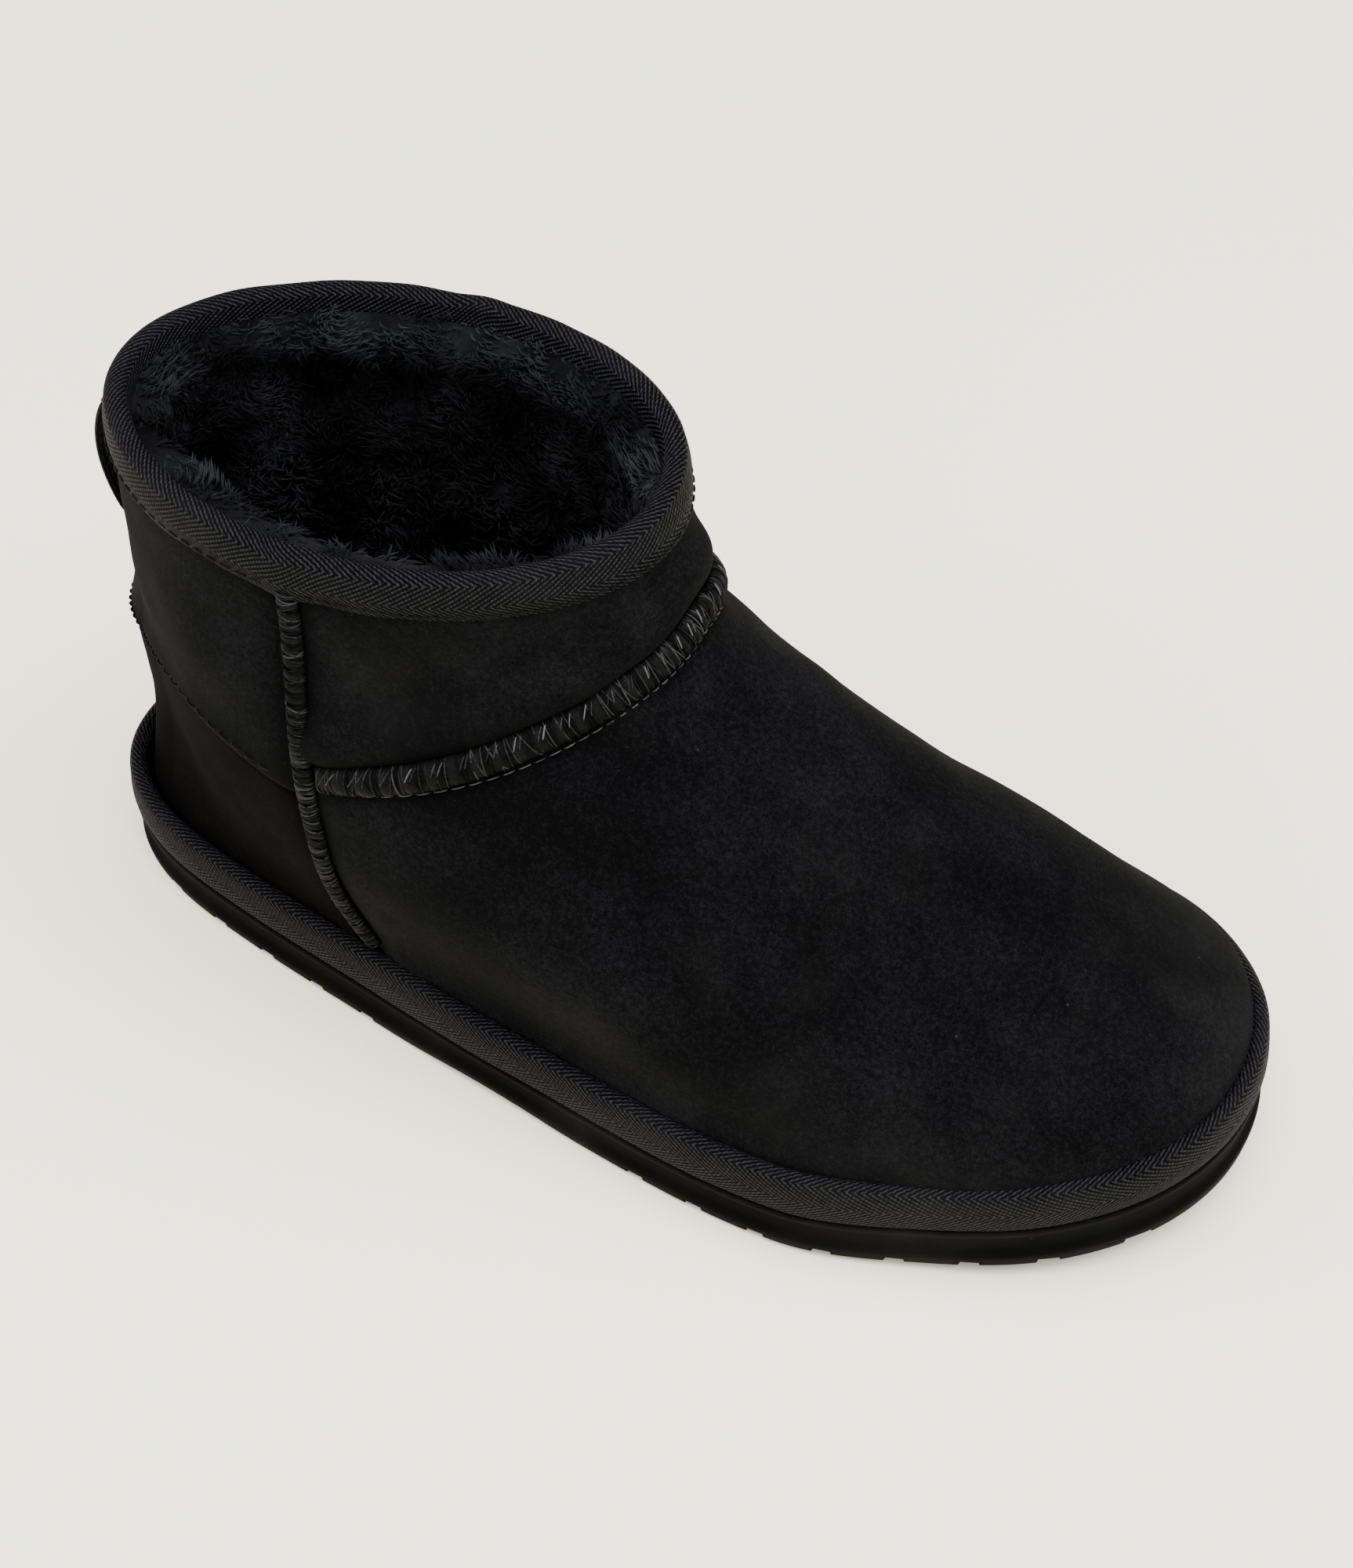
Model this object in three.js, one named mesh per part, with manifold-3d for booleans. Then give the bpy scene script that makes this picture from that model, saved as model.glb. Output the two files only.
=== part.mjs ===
// Sheepskin ankle boot, right foot, empty and standing on its sole.
// Millimetres. +X points to the toe, +Y to the inner side of the foot, +Z up.
// The origin is on the floor, at the centre of the boot's box.

import * as THREE from 'three';
import { mergeVertices } from 'three/addons/utils/BufferGeometryUtils.js';
import Module from 'manifold-3d';

const wasm = await Module();
wasm.setup();

// ---- Driving dimensions ----

const GAP = 0.3; // between neighbouring pieces

const SOLE_LENGTH = 275;
const SOLE_HEIGHT = 12.9; // at the waist, floor to the rand
const TOE_SPRING = 10.5; // lift of the whole boot at the tip of the toe
const TOE_SPRING_FROM = 0.63; // share of the length, from the heel
const TREAD_SPRING = 0.8; // share of that lift under the sole, which is thicker at the toe
const HEEL_SPRING = 0.3;
const HEEL_SPRING_TO = 0.15;
const ARCH_RISE = 1.8; // of the tread between heel and forefoot
const ARCH_FROM = -48;
const ARCH_TO = 6;
const TREAD_TUCK = 1.6; // how far the tread's edge lies inside the outline
const SIDEWALL_GROOVE = 1.1; // depth of the hollow band round the sidewall
const LUG_PITCH = 15;
const LUG_GROOVE = 4.3; // width between two lugs
const LUG_DEPTH = 2.4;

const RAND_HEIGHT = 12.6;
const RAND_CROWN = 2.2; // height of the rounded top edge
const RAND_THICKNESS = 5;
const LASTED_TO = 0.3; // level up to which the upper takes its form from the sole's outline

const WALL = 9; // sheepskin with its wool
const RIM_WALL = 4.6; // where the binding presses the wool flat
const PRESSED_FROM = 0.8; // level from which it is pressed
const INSOLE_THICKNESS = 9.5;
const INSOLE_EDGE = 1.5; // rounding of its upper edge

const BINDING_THICKNESS = 1.3;
const BINDING_OUTSIDE = 8.8; // height of the tape outside the collar
const BINDING_INSIDE = 8.5;
const BINDING_PLUMP = 0.4; // how far it bulges between its edges

const SEAM_GAP = 0.45; // the skin is hollow across the instep, so its facets need more room
const SEAM_WIDTH = 6;
const SEAM_RISE = 2.2; // how far a seam stands proud
const SEAM_PROFILE = [ // shares of the width and the rise, counting round the bead's section
  { side: -0.5, up: 0 },
  { side: -0.44, up: 0.6 },
  { side: -0.2, up: 1 },
  { side: 0.2, up: 1 },
  { side: 0.44, up: 0.6 },
  { side: 0.5, up: 0 },
  { side: 0, up: 0 },
];
const TAB_WIDTH = 20;
const TAB_HEIGHT = 31;
const TAB_THICKNESS = 2;
const TAB_STAND_OFF = 7.5; // clear depth of the loop
const TAB_FULLNESS = 0.7; // below 1 the loop is fuller than a half sine
const TAB_BELOW_BINDING = 1.5;

// Half widths and centre line of the sole's outline along its length.
const SOLE_ROWS = [
  { at: 0.0, half: 38.5, centre: 0.2 },
  { at: 0.18, half: 38.5, centre: 0.2 },
  { at: 0.45, half: 43.3, centre: -6.3 },
  { at: 0.7, half: 54.3, centre: -1.2 },
  { at: 0.86, half: 47.5, centre: 4.0 },
  { at: 1.0, half: 41.5, centre: 6.5 },
];
const SOLE_HEEL = { length: 0.27, power: 2.39 };
const SOLE_TOE = { length: 0.18, power: 2.15 };

// Sections of the upper's outside, from the sole to the collar's rim. Each runs from a point
// at the back to a point at the front, with half widths and sideways offsets at the rear,
// middle and front stations, and the shares of its length that the two ends are rounded over.
const UPPER_ROWS = [
  { back: -131.0, backZ: 13.2, front: 130.5, frontZ: 13.2, rear: 33.0, mid: 38.5, fore: 49.0,
    rearRound: 0.27, foreRound: 0.26, rearShift: 0.0, midShift: -5.0, foreShift: 1.5 },
  { back: -132.0, backZ: 26.0, front: 131.0, frontZ: 25.0, rear: 34.0, mid: 40.5, fore: 50.0,
    rearRound: 0.27, foreRound: 0.28, rearShift: 0.0, midShift: -5.0, foreShift: 1.5 },
  { back: -132.0, backZ: 42.0, front: 121.0, frontZ: 38.5, rear: 35.8, mid: 44.5, fore: 47.8,
    rearRound: 0.28, foreRound: 0.36, rearShift: 0.5, midShift: -3.5, foreShift: 1.5 },
  { back: -131.2, backZ: 58.0, front: 99.0, frontZ: 53.6, rear: 37.6, mid: 46.8, fore: 45.8,
    rearRound: 0.31, foreRound: 0.46, rearShift: 1.0, midShift: -1.8, foreShift: 2.8 },
  { back: -129.6, backZ: 74.0, front: 71.0, frontZ: 70.5, rear: 38.8, mid: 45.0, fore: 42.0,
    rearRound: 0.36, foreRound: 0.54, rearShift: 1.5, midShift: -0.2, foreShift: 4.0 },
  { back: -127.0, backZ: 88.0, front: 42.0, frontZ: 88.0, rear: 39.6, mid: 43.0, fore: 38.0,
    rearRound: 0.42, foreRound: 0.56, rearShift: 2.5, midShift: 1.3, foreShift: 4.8 },
  { back: -126.0, backZ: 101.0, front: 16.0, frontZ: 103.0, rear: 40.0, mid: 42.0, fore: 37.5,
    rearRound: 0.46, foreRound: 0.56, rearShift: 4.0, midShift: 3.5, foreShift: 6.0 },
  { back: -125.5, backZ: 120.0, front: 5.0, frontZ: 122.0, rear: 39.5, mid: 41.0, fore: 40.0,
    rearRound: 0.49, foreRound: 0.53, rearShift: 5.5, midShift: 6.0, foreShift: 8.0 },
  { back: -124.5, backZ: 137.5, front: 1.0, frontZ: 140.5, rear: 39.5, mid: 41.0, fore: 42.5,
    rearRound: 0.5, foreRound: 0.5, rearShift: 7.0, midShift: 8.0, foreShift: 9.5 },
];
const STATIONS = [0.2, 0.5, 0.85]; // rear, middle and front
const END_POWERS = { heel: [2.4, 2.0], toe: [2.12, 2.0] }; // roundness at the sole and the rim

// The instep seam climbs from the side seams to the front; the side seam leans forward at the sole.
const INSTEP = { sideLevel: 0.605, frontLevel: 0.83, sideTurn: 80.4, power: 1.5 };
const SIDE_SEAM = { from: 0.145, to: 0.927 }; // levels just above the rand and under the binding
const SIDE_ROWS = [
  { level: 0.11, x: -48 },
  { level: 0.2, x: -54 },
  { level: 0.4, x: -57 },
  { level: 0.65, x: -59.5 },
  { level: 0.95, x: -61 },
];

// Mesh steps
const AROUND = 48; // round the foot, even
const UPPER_LEVELS = [0, 0.05, 0.11, 0.17, 0.24, 0.31, 0.38, 0.45, 0.51, 0.56, 0.6, 0.64, 0.68, 0.72,
  0.76, 0.8, 0.84, 0.88, 0.92, 0.96, 1];
const SEAM_STEPS = 22;
const TAB_STEPS = 12;
const HEIGHT_STEPS = 24; // halvings when a height is looked up

const COLOURS = {
  suede: 0x17181c,
  tape: 0x1b1c20,
  wool: 0x141519,
  rubber: 0x18191b,
  thread: 0x202127,
};

// ---- Curves ----

const clamp01 = (value) => Math.min(1, Math.max(0, value));
const mix = (a, b, share) => a + (b - a) * share;

function smoothStep(value) {
  const s = clamp01(value);
  return s * s * (3 - 2 * s);
}

// Smooth curve through a table's rows: cubic pieces whose slopes come from the neighbouring rows.
function alongRows(rows, key, column, at) {
  const last = rows.length - 1;
  let i = 0;
  while (i < last - 1 && at > rows[i + 1][key]) i += 1;
  const slope = (k) => {
    const low = rows[Math.max(0, k - 1)];
    const high = rows[Math.min(last, k + 1)];
    return (high[column] - low[column]) / (high[key] - low[key]);
  };
  const span = rows[i + 1][key] - rows[i][key];
  const s = clamp01((at - rows[i][key]) / span);
  return (2 * s ** 3 - 3 * s ** 2 + 1) * rows[i][column]
    + (s ** 3 - 2 * s ** 2 + s) * span * slope(i)
    + (3 * s ** 2 - 2 * s ** 3) * rows[i + 1][column]
    + (s ** 3 - s ** 2) * span * slope(i + 1);
}

// Parabola through the three stations.
function alongStations(values, at) {
  return values.reduce((sum, value, i) => {
    const others = STATIONS.filter((_, k) => k !== i);
    const weight = others.reduce((w, other) => w * (at - other) / (STATIONS[i] - other), 1);
    return sum + value * weight;
  }, 0);
}

// Rounding of an outline's end: 0 at the tip and 1 from the given length on.
function endRound(at, length, power) {
  return (1 - clamp01(1 - at / length) ** power) ** (1 / power);
}

// Lift of the whole boot at toe and heel.
function spring(x) {
  const at = x / SOLE_LENGTH + 0.5;
  const toe = clamp01((at - TOE_SPRING_FROM) / (1 - TOE_SPRING_FROM)) ** 2;
  const heel = clamp01((HEEL_SPRING_TO - at) / HEEL_SPRING_TO) ** 2;
  return TOE_SPRING * toe + HEEL_SPRING * heel;
}

// Height of the tread: flat under heel and forefoot, a shallow arch between, and the springs.
function treadHeight(x) {
  const arch = clamp01((x - ARCH_FROM) / (ARCH_TO - ARCH_FROM));
  return spring(x) * TREAD_SPRING + ARCH_RISE * Math.sin(Math.PI * arch) ** 2;
}

// Point of the sole's outline. Turn goes from 0 at the heel by the outer side to 2 PI.
function soleEdge(turn) {
  const at = (1 - Math.cos(turn)) / 2;
  const side = Math.sin(turn) >= 0 ? -1 : 1;
  const half = alongRows(SOLE_ROWS, 'at', 'half', at)
    * endRound(at, SOLE_HEEL.length, SOLE_HEEL.power)
    * endRound(1 - at, SOLE_TOE.length, SOLE_TOE.power);
  const y = alongRows(SOLE_ROWS, 'at', 'centre', at) + side * half;
  return new THREE.Vector2((at - 0.5) * SOLE_LENGTH, y);
}

// The same outline, moved inwards along its own normal.
function soleOutline(turn, inset = 0) {
  const step = 0.02;
  const along = soleEdge(turn + step).sub(soleEdge(turn - step)).normalize();
  return soleEdge(turn).add(new THREE.Vector2(-along.y, along.x).multiplyScalar(inset));
}

// Point of the upper's outside at a level from 0, the sole, to 1, the rim. At the sole it keeps
// the sole's outline, inside the rand, and it passes into the sections' own form above.
const LEVEL_ROWS = UPPER_ROWS.map((row, i) => ({ ...row, level: i / (UPPER_ROWS.length - 1) }));
function upperSkin(level, turn) {
  const value = (column) => alongRows(LEVEL_ROWS, 'level', column, level);
  const at = (1 - Math.cos(turn)) / 2;
  const side = Math.sin(turn) >= 0 ? -1 : 1;
  const station = Math.min(0.95, Math.max(0.06, at));
  const power = ([low, high]) => mix(low, high, level);
  const half = alongStations([value('rear'), value('mid'), value('fore')], station)
    * endRound(at, value('rearRound'), power(END_POWERS.heel))
    * endRound(1 - at, value('foreRound'), power(END_POWERS.toe));
  const shift = alongStations([value('rearShift'), value('midShift'), value('foreShift')], station);
  const foot = soleOutline(turn, RAND_THICKNESS);
  const own = smoothStep(level / LASTED_TO);
  const x = mix(foot.x, mix(value('back'), value('front'), at), own);
  const y = mix(foot.y, shift + side * half, own);
  return new THREE.Vector3(x, y, mix(value('backZ'), value('frontZ'), at) + spring(x));
}

// The same point moved outwards along the surface's normal. The ends keep their own height.
function upperAt(level, turn, out) {
  const step = 0.004;
  const low = Math.max(0, level - step);
  const high = Math.min(1, level + step);
  const up = upperSkin(high, turn).sub(upperSkin(low, turn));
  const round = upperSkin(level, turn + step * 5).sub(upperSkin(level, turn - step * 5));
  const normal = round.cross(up).normalize();
  const skin = upperSkin(level, turn);
  const point = skin.clone();
  if (level > 0 && level < 1) return point.addScaledVector(normal, out);
  point.addScaledVector(normal.setZ(0).normalize(), out);
  return point.setZ(skin.z - spring(skin.x) + spring(point.x));
}

// Point of a surface, given as a function of level and turn, at a height above the unsprung floor.
function atHeight(surface, turn, height) {
  let low = 1e-4;
  let high = 1 - 1e-4;
  for (let i = 0; i < HEIGHT_STEPS; i += 1) {
    const middle = (low + high) / 2;
    const p = surface(middle, turn);
    if (p.z - spring(p.x) < height) low = middle;
    else high = middle;
  }
  return surface(low, turn);
}

// Turn at which the upper's side has a given x, on the outer side of the foot.
function turnAtX(level, x) {
  const value = (column) => alongRows(LEVEL_ROWS, 'level', column, level);
  const at = (x - value('back')) / (value('front') - value('back'));
  return Math.acos(1 - 2 * at);
}

// Wall thickness: full from the sole up, thinner under the binding.
function wallAt(level) {
  return mix(WALL, RIM_WALL, smoothStep((level - PRESSED_FROM) / (1 - PRESSED_FROM)));
}

// ---- Mesh building ----

const TURNS = Array.from({ length: AROUND }, (_, i) => (i / AROUND) * 2 * Math.PI);

// One closed body from rings of points. Each ring is joined to the next, and the last one to the
// first (closed profile) or each end is capped by strips across the ring.
function ringBody(rings, closedProfile) {
  const count = rings[0].length;
  const positions = rings.flat().flatMap((p) => [p.x, p.y, p.z]);
  const index = [];
  const id = (ring, i) => (ring % rings.length) * count + (i % count);
  const spans = closedProfile ? rings.length : rings.length - 1;
  for (let r = 0; r < spans; r += 1) {
    for (let i = 0; i < count; i += 1) {
      index.push(id(r, i), id(r, i + 1), id(r + 1, i + 1));
      index.push(id(r, i), id(r + 1, i + 1), id(r + 1, i));
    }
  }
  if (!closedProfile) {
    capRing(index, 0, count, true);
    capRing(index, (rings.length - 1) * count, count, false);
  }
  return outward(positions, index);
}

// Cap by strips between the two sides of a ring that starts at the heel.
function capRing(index, start, count, flip) {
  for (let i = 0; i < count / 2; i += 1) {
    const a = start + i;
    const b = start + i + 1;
    const c = start + ((count - i - 1) % count);
    const d = start + ((count - i) % count);
    const quad = flip ? [a, c, b, a, d, c] : [a, b, c, a, c, d];
    for (let k = 0; k < 6; k += 3) {
      const tri = quad.slice(k, k + 3);
      if (new Set(tri).size === 3) index.push(...tri);
    }
  }
}

// Geometry with its faces pointing out and its shared vertices merged.
function outward(positions, index) {
  let volume = 0;
  for (let i = 0; i < index.length; i += 3) {
    const [a, b, c] = [0, 1, 2].map((k) => new THREE.Vector3().fromArray(positions, index[i + k] * 3));
    volume += a.dot(b.cross(c));
  }
  const turned = volume < 0 ? index.map((_, i) => index[i - (i % 3) + 2 - (i % 3)]) : index;
  const geometry = new THREE.BufferGeometry();
  geometry.setAttribute('position', new THREE.Float32BufferAttribute(positions, 3));
  geometry.setIndex(turned);
  return mergeVertices(geometry, 1e-4);
}

// Strip along a path: a list of closed profiles, with flat ends.
function stripBody(profiles) {
  const count = profiles[0].length;
  const positions = profiles.flat().flatMap((p) => [p.x, p.y, p.z]);
  const index = [];
  for (let s = 0; s < profiles.length - 1; s += 1) {
    for (let i = 0; i < count; i += 1) {
      const j = (i + 1) % count;
      const a = s * count;
      const b = a + count;
      index.push(a + i, a + j, b + j, a + i, b + j, b + i);
    }
  }
  const end = (profiles.length - 1) * count;
  for (let i = 1; i < count - 1; i += 1) {
    index.push(0, i + 1, i, end, end + i, end + i + 1);
  }
  return outward(positions, index);
}

function toManifold(geometry) {
  const bare = new THREE.BufferGeometry();
  bare.setAttribute('position', geometry.getAttribute('position').clone());
  bare.setIndex(geometry.getIndex() ?? null);
  const merged = mergeVertices(bare, 1e-4);
  return new wasm.Manifold(new wasm.Mesh({
    numProp: 3,
    vertProperties: new Float32Array(merged.getAttribute('position').array),
    triVerts: new Uint32Array(merged.getIndex().array),
  }));
}

function fromManifold(solid) {
  const mesh = solid.getMesh();
  const geometry = new THREE.BufferGeometry();
  geometry.setAttribute('position', new THREE.BufferAttribute(mesh.vertProperties, 3));
  geometry.setIndex(new THREE.BufferAttribute(mesh.triVerts, 1));
  return geometry;
}

function plainBox(size, centre) {
  const box = new THREE.BoxGeometry(...size);
  box.deleteAttribute('normal');
  box.deleteAttribute('uv');
  box.translate(...centre);
  return toManifold(box);
}

// ---- Pieces ----

// Foam rubber unit. Its sidewall is a lip under the rand, a hollow band and a flared foot, and
// grooves across the tread leave the lugs standing.
function outsole() {
  const levels = [
    { height: 1, inset: 0.2 },
    { height: 0.9, inset: 0 },
    { height: 0.78, inset: SIDEWALL_GROOVE },
    { height: 0.42, inset: SIDEWALL_GROOVE },
    { height: 0.3, inset: 0.1 },
    { height: 0.12, inset: 0.3 },
    { height: 0, inset: TREAD_TUCK },
  ];
  const rings = levels.map(({ height, inset }) => TURNS.map((turn) => {
    const { x, y } = soleOutline(turn, inset);
    const low = treadHeight(x);
    const high = SOLE_HEIGHT + spring(x);
    return { x, y, z: mix(low, high, height) };
  }));
  const body = toManifold(ringBody(rings, false));
  const reach = SOLE_LENGTH / 2 - LUG_PITCH / 2;
  const places = [];
  for (let x = -reach; x < reach; x += LUG_PITCH) {
    const underArch = x > ARCH_FROM && x < ARCH_TO;
    if (!underArch) places.push(x);
  }
  return fromManifold(places.reduce((solid, x) => {
    const top = treadHeight(x) + LUG_DEPTH;
    const tall = top + SOLE_HEIGHT;
    return solid.subtract(plainBox([LUG_GROOVE, SOLE_LENGTH, tall], [x, 0, top - tall / 2]));
  }, body));
}

// Band round the foot between sole and upper, with a rounded top edge. Its inside follows
// the upper.
function rand() {
  const low = SOLE_HEIGHT + GAP;
  const high = SOLE_HEIGHT + RAND_HEIGHT;
  const skin = (level, turn) => upperAt(level, turn, GAP);
  const inside = [low, (low + high) / 2, high - RAND_CROWN / 2].map((height) => TURNS.map((turn) => {
    const p = atHeight(skin, turn, height);
    return { x: p.x, y: p.y, z: height + spring(p.x) };
  }));
  const outside = [
    { height: high, share: 0.35 },
    { height: high, share: 0.62 },
    { height: high - RAND_CROWN, share: 0.96 },
    { height: (low + high) / 2, share: 1.0 },
    { height: low, share: 1.0 },
  ];
  const rings = outside.map(({ height, share }) => TURNS.map((turn, i) => {
    const edge = soleOutline(turn);
    const inner = inside[2][i];
    const x = mix(inner.x, edge.x, share);
    return { x, y: mix(inner.y, edge.y, share), z: height + spring(x) };
  }));
  return ringBody([...inside, ...rings], true);
}

// One hollow wall from the sole to the rim: outside, rounded rim, inside, and the flat lower edge.
function upper() {
  const outside = UPPER_LEVELS.map((level) => TURNS.map((turn) => upperAt(level, turn, 0)));
  const inside = UPPER_LEVELS.map((level) => TURNS.map((turn) => innerWall(level, turn, 0))).reverse();
  return ringBody([...outside, ...inside], true);
}

// Inside of the wall, and further in by a clearance.
function innerWall(level, turn, clearance) {
  return upperAt(level, turn, -(wallAt(level) + clearance));
}

// Footbed inside the upper's wall, resting on the sole.
function insole() {
  const base = SOLE_HEIGHT + GAP;
  const rings = [
    { share: 0, inset: GAP },
    { share: 0.45, inset: GAP },
    { share: 0.85, inset: GAP },
    { share: 1, inset: GAP + INSOLE_EDGE },
  ].map(({ share, inset }) => TURNS.map((turn) => {
    const height = base + INSOLE_THICKNESS * share;
    const p = atHeight((level, at) => innerWall(level, at, inset), turn, height);
    return { x: p.x, y: p.y, z: height + spring(p.x) };
  }));
  return ringBody(rings, false);
}

// Tape folded over the rim: a channel that the rim stands in.
function collarBinding() {
  const skin = BINDING_THICKNESS + GAP;
  const below = (surface, drop) => TURNS.map((turn) => {
    if (drop === 0) return surface(1, turn);
    return atHeight(surface, turn, upperSkin(1, turn).z - drop);
  });
  const outer = (drop, out) => below((level, turn) => upperAt(level, turn, out), drop);
  const inner = (drop, out) => below((level, turn) => innerWall(level, turn, out), drop);
  const lift = (ring, rise) => ring.map((p) => p.setZ(p.z + rise));
  return ringBody([
    outer(BINDING_OUTSIDE, GAP),
    outer(BINDING_OUTSIDE, skin),
    outer(BINDING_OUTSIDE / 2, skin + BINDING_PLUMP),
    outer(BINDING_PLUMP, skin),
    lift(outer(0, -RIM_WALL / 4), skin),
    lift(inner(0, -RIM_WALL / 4), skin),
    inner(BINDING_PLUMP, skin),
    inner(BINDING_INSIDE / 2, skin + BINDING_PLUMP),
    inner(BINDING_INSIDE, skin),
    inner(BINDING_INSIDE, GAP),
    inner(BINDING_INSIDE / 2, GAP),
    lift(inner(0, GAP), GAP),
    lift(outer(0, GAP), GAP),
    outer(BINDING_OUTSIDE / 2, GAP),
  ], true);
}

// Raised bead along a path on the upper. The path gives level and turn for a share from 0 to 1.
function seamBead(path) {
  const profiles = [];
  for (let s = 0; s <= SEAM_STEPS; s += 1) {
    const here = path(s / SEAM_STEPS);
    const step = 0.01;
    const before = path(Math.max(0, s / SEAM_STEPS - step));
    const after = path(Math.min(1, s / SEAM_STEPS + step));
    const ahead = upperSkin(after.level, after.turn).sub(upperSkin(before.level, before.turn)).normalize();
    const centre = upperSkin(here.level, here.turn);
    const normal = upperAt(here.level, here.turn, 1).sub(centre).normalize();
    const across = new THREE.Vector3().crossVectors(ahead, normal).normalize();
    profiles.push(SEAM_PROFILE.map(({ side, up }) => {
      const foot = nearestOnSkin(here, across, side * SEAM_WIDTH);
      return foot.point.addScaledVector(foot.normal, SEAM_GAP + up * SEAM_RISE);
    }));
  }
  return stripBody(profiles);
}

// Point of the skin a given distance to the side of a level and turn, with its normal.
function nearestOnSkin(here, across, distance) {
  const start = upperSkin(here.level, here.turn);
  const step = 0.003;
  const alongLevel = upperSkin(here.level + step, here.turn).sub(start).divideScalar(step);
  const alongTurn = upperSkin(here.level, here.turn + step).sub(start).divideScalar(step);
  const goal = across.clone().multiplyScalar(distance);
  const aa = alongLevel.dot(alongLevel);
  const bb = alongTurn.dot(alongTurn);
  const ab = alongLevel.dot(alongTurn);
  const ga = goal.dot(alongLevel);
  const gb = goal.dot(alongTurn);
  const det = aa * bb - ab * ab;
  const level = here.level + (ga * bb - gb * ab) / det;
  const turn = here.turn + (gb * aa - ga * ab) / det;
  const point = upperSkin(level, turn);
  const normal = upperAt(level, turn, 1).sub(point).normalize();
  return { point, normal };
}

// Side seam from just above the rand to just under the binding.
function sideSeam(side) {
  return seamBead((share) => {
    const level = SIDE_SEAM.from + (SIDE_SEAM.to - SIDE_SEAM.from) * share;
    const turn = turnAtX(level, alongRows(SIDE_ROWS, 'level', 'x', level));
    return { level, turn: side < 0 ? turn : 2 * Math.PI - turn };
  });
}

// Instep seam from one side seam over the instep to the other.
function instepSeam() {
  const half = Math.PI - THREE.MathUtils.degToRad(INSTEP.sideTurn);
  return seamBead((share) => {
    const turn = Math.PI + (2 * share - 1) * half;
    const away = Math.abs(2 * share - 1);
    const level = INSTEP.frontLevel - (INSTEP.frontLevel - INSTEP.sideLevel) * away ** INSTEP.power;
    return { level, turn };
  });
}

// Folded strip at the back: its two ends lie flat below the binding and the middle stands off.
function heelTab() {
  const rim = upperSkin(1, 0);
  const low = rim.z - BINDING_OUTSIDE - TAB_BELOW_BINDING - TAB_HEIGHT;
  const profiles = [];
  const edge = (share, out) => {
    const z = low + TAB_HEIGHT * share;
    const stand = TAB_STAND_OFF * Math.sin(Math.PI * share) ** TAB_FULLNESS;
    return { x: backAtHeight(z) - GAP - stand - out, z };
  };
  for (let i = 0; i <= TAB_STEPS; i += 1) {
    const share = i / TAB_STEPS;
    const near = edge(share, 0);
    const far = edge(share, TAB_THICKNESS);
    const left = rim.y + TAB_WIDTH / 2;
    const right = rim.y - TAB_WIDTH / 2;
    profiles.push([
      { x: near.x, y: right, z: near.z },
      { x: near.x, y: left, z: near.z },
      { x: far.x, y: left, z: far.z },
      { x: far.x, y: right, z: far.z },
    ]);
  }
  return stripBody(profiles);
}

// x of the upper's back line at a height.
function backAtHeight(z) {
  let low = 0;
  let high = 1;
  for (let i = 0; i < HEIGHT_STEPS; i += 1) {
    const middle = (low + high) / 2;
    if (upperSkin(middle, 0).z < z) low = middle;
    else high = middle;
  }
  return upperSkin(low, 0).x;
}

// ---- Scene graph ----

const finishes = {
  suede: { color: COLOURS.suede, roughness: 0.95, metalness: 0 },
  tape: { color: COLOURS.tape, roughness: 0.8, metalness: 0 },
  wool: { color: COLOURS.wool, roughness: 1, metalness: 0 },
  rubber: { color: COLOURS.rubber, roughness: 0.75, metalness: 0 },
  thread: { color: COLOURS.thread, roughness: 0.7, metalness: 0 },
};

const boot = new THREE.Group();

function addPiece(name, geometry, finish) {
  geometry.computeVertexNormals();
  const mesh = new THREE.Mesh(geometry, new THREE.MeshStandardMaterial(finishes[finish]));
  mesh.name = name;
  boot.add(mesh);
}

addPiece('outsole', outsole(), 'rubber');
addPiece('rand', rand(), 'tape');
addPiece('upper', upper(), 'suede');
addPiece('insole', insole(), 'wool');
addPiece('collar_binding', collarBinding(), 'tape');
addPiece('instep_seam', instepSeam(), 'thread');
addPiece('side_seam_outer', sideSeam(-1), 'thread');
addPiece('side_seam_inner', sideSeam(1), 'thread');
addPiece('heel_tab', heelTab(), 'tape');

const box = new THREE.Box3().setFromObject(boot);
const centre = box.getCenter(new THREE.Vector3());
boot.position.set(-centre.x, -centre.y, -box.min.z);

export default boot;
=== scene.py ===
"""Sheepskin ankle boot, right foot: panels, tapes, seams, stitches, wool and sole on the CAD frame."""

import logging
import math
from dataclasses import astuple, dataclass, field, replace
from enum import Enum
from typing import Callable, Optional

import bpy
import numpy as np
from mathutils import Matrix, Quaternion, Vector


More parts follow.
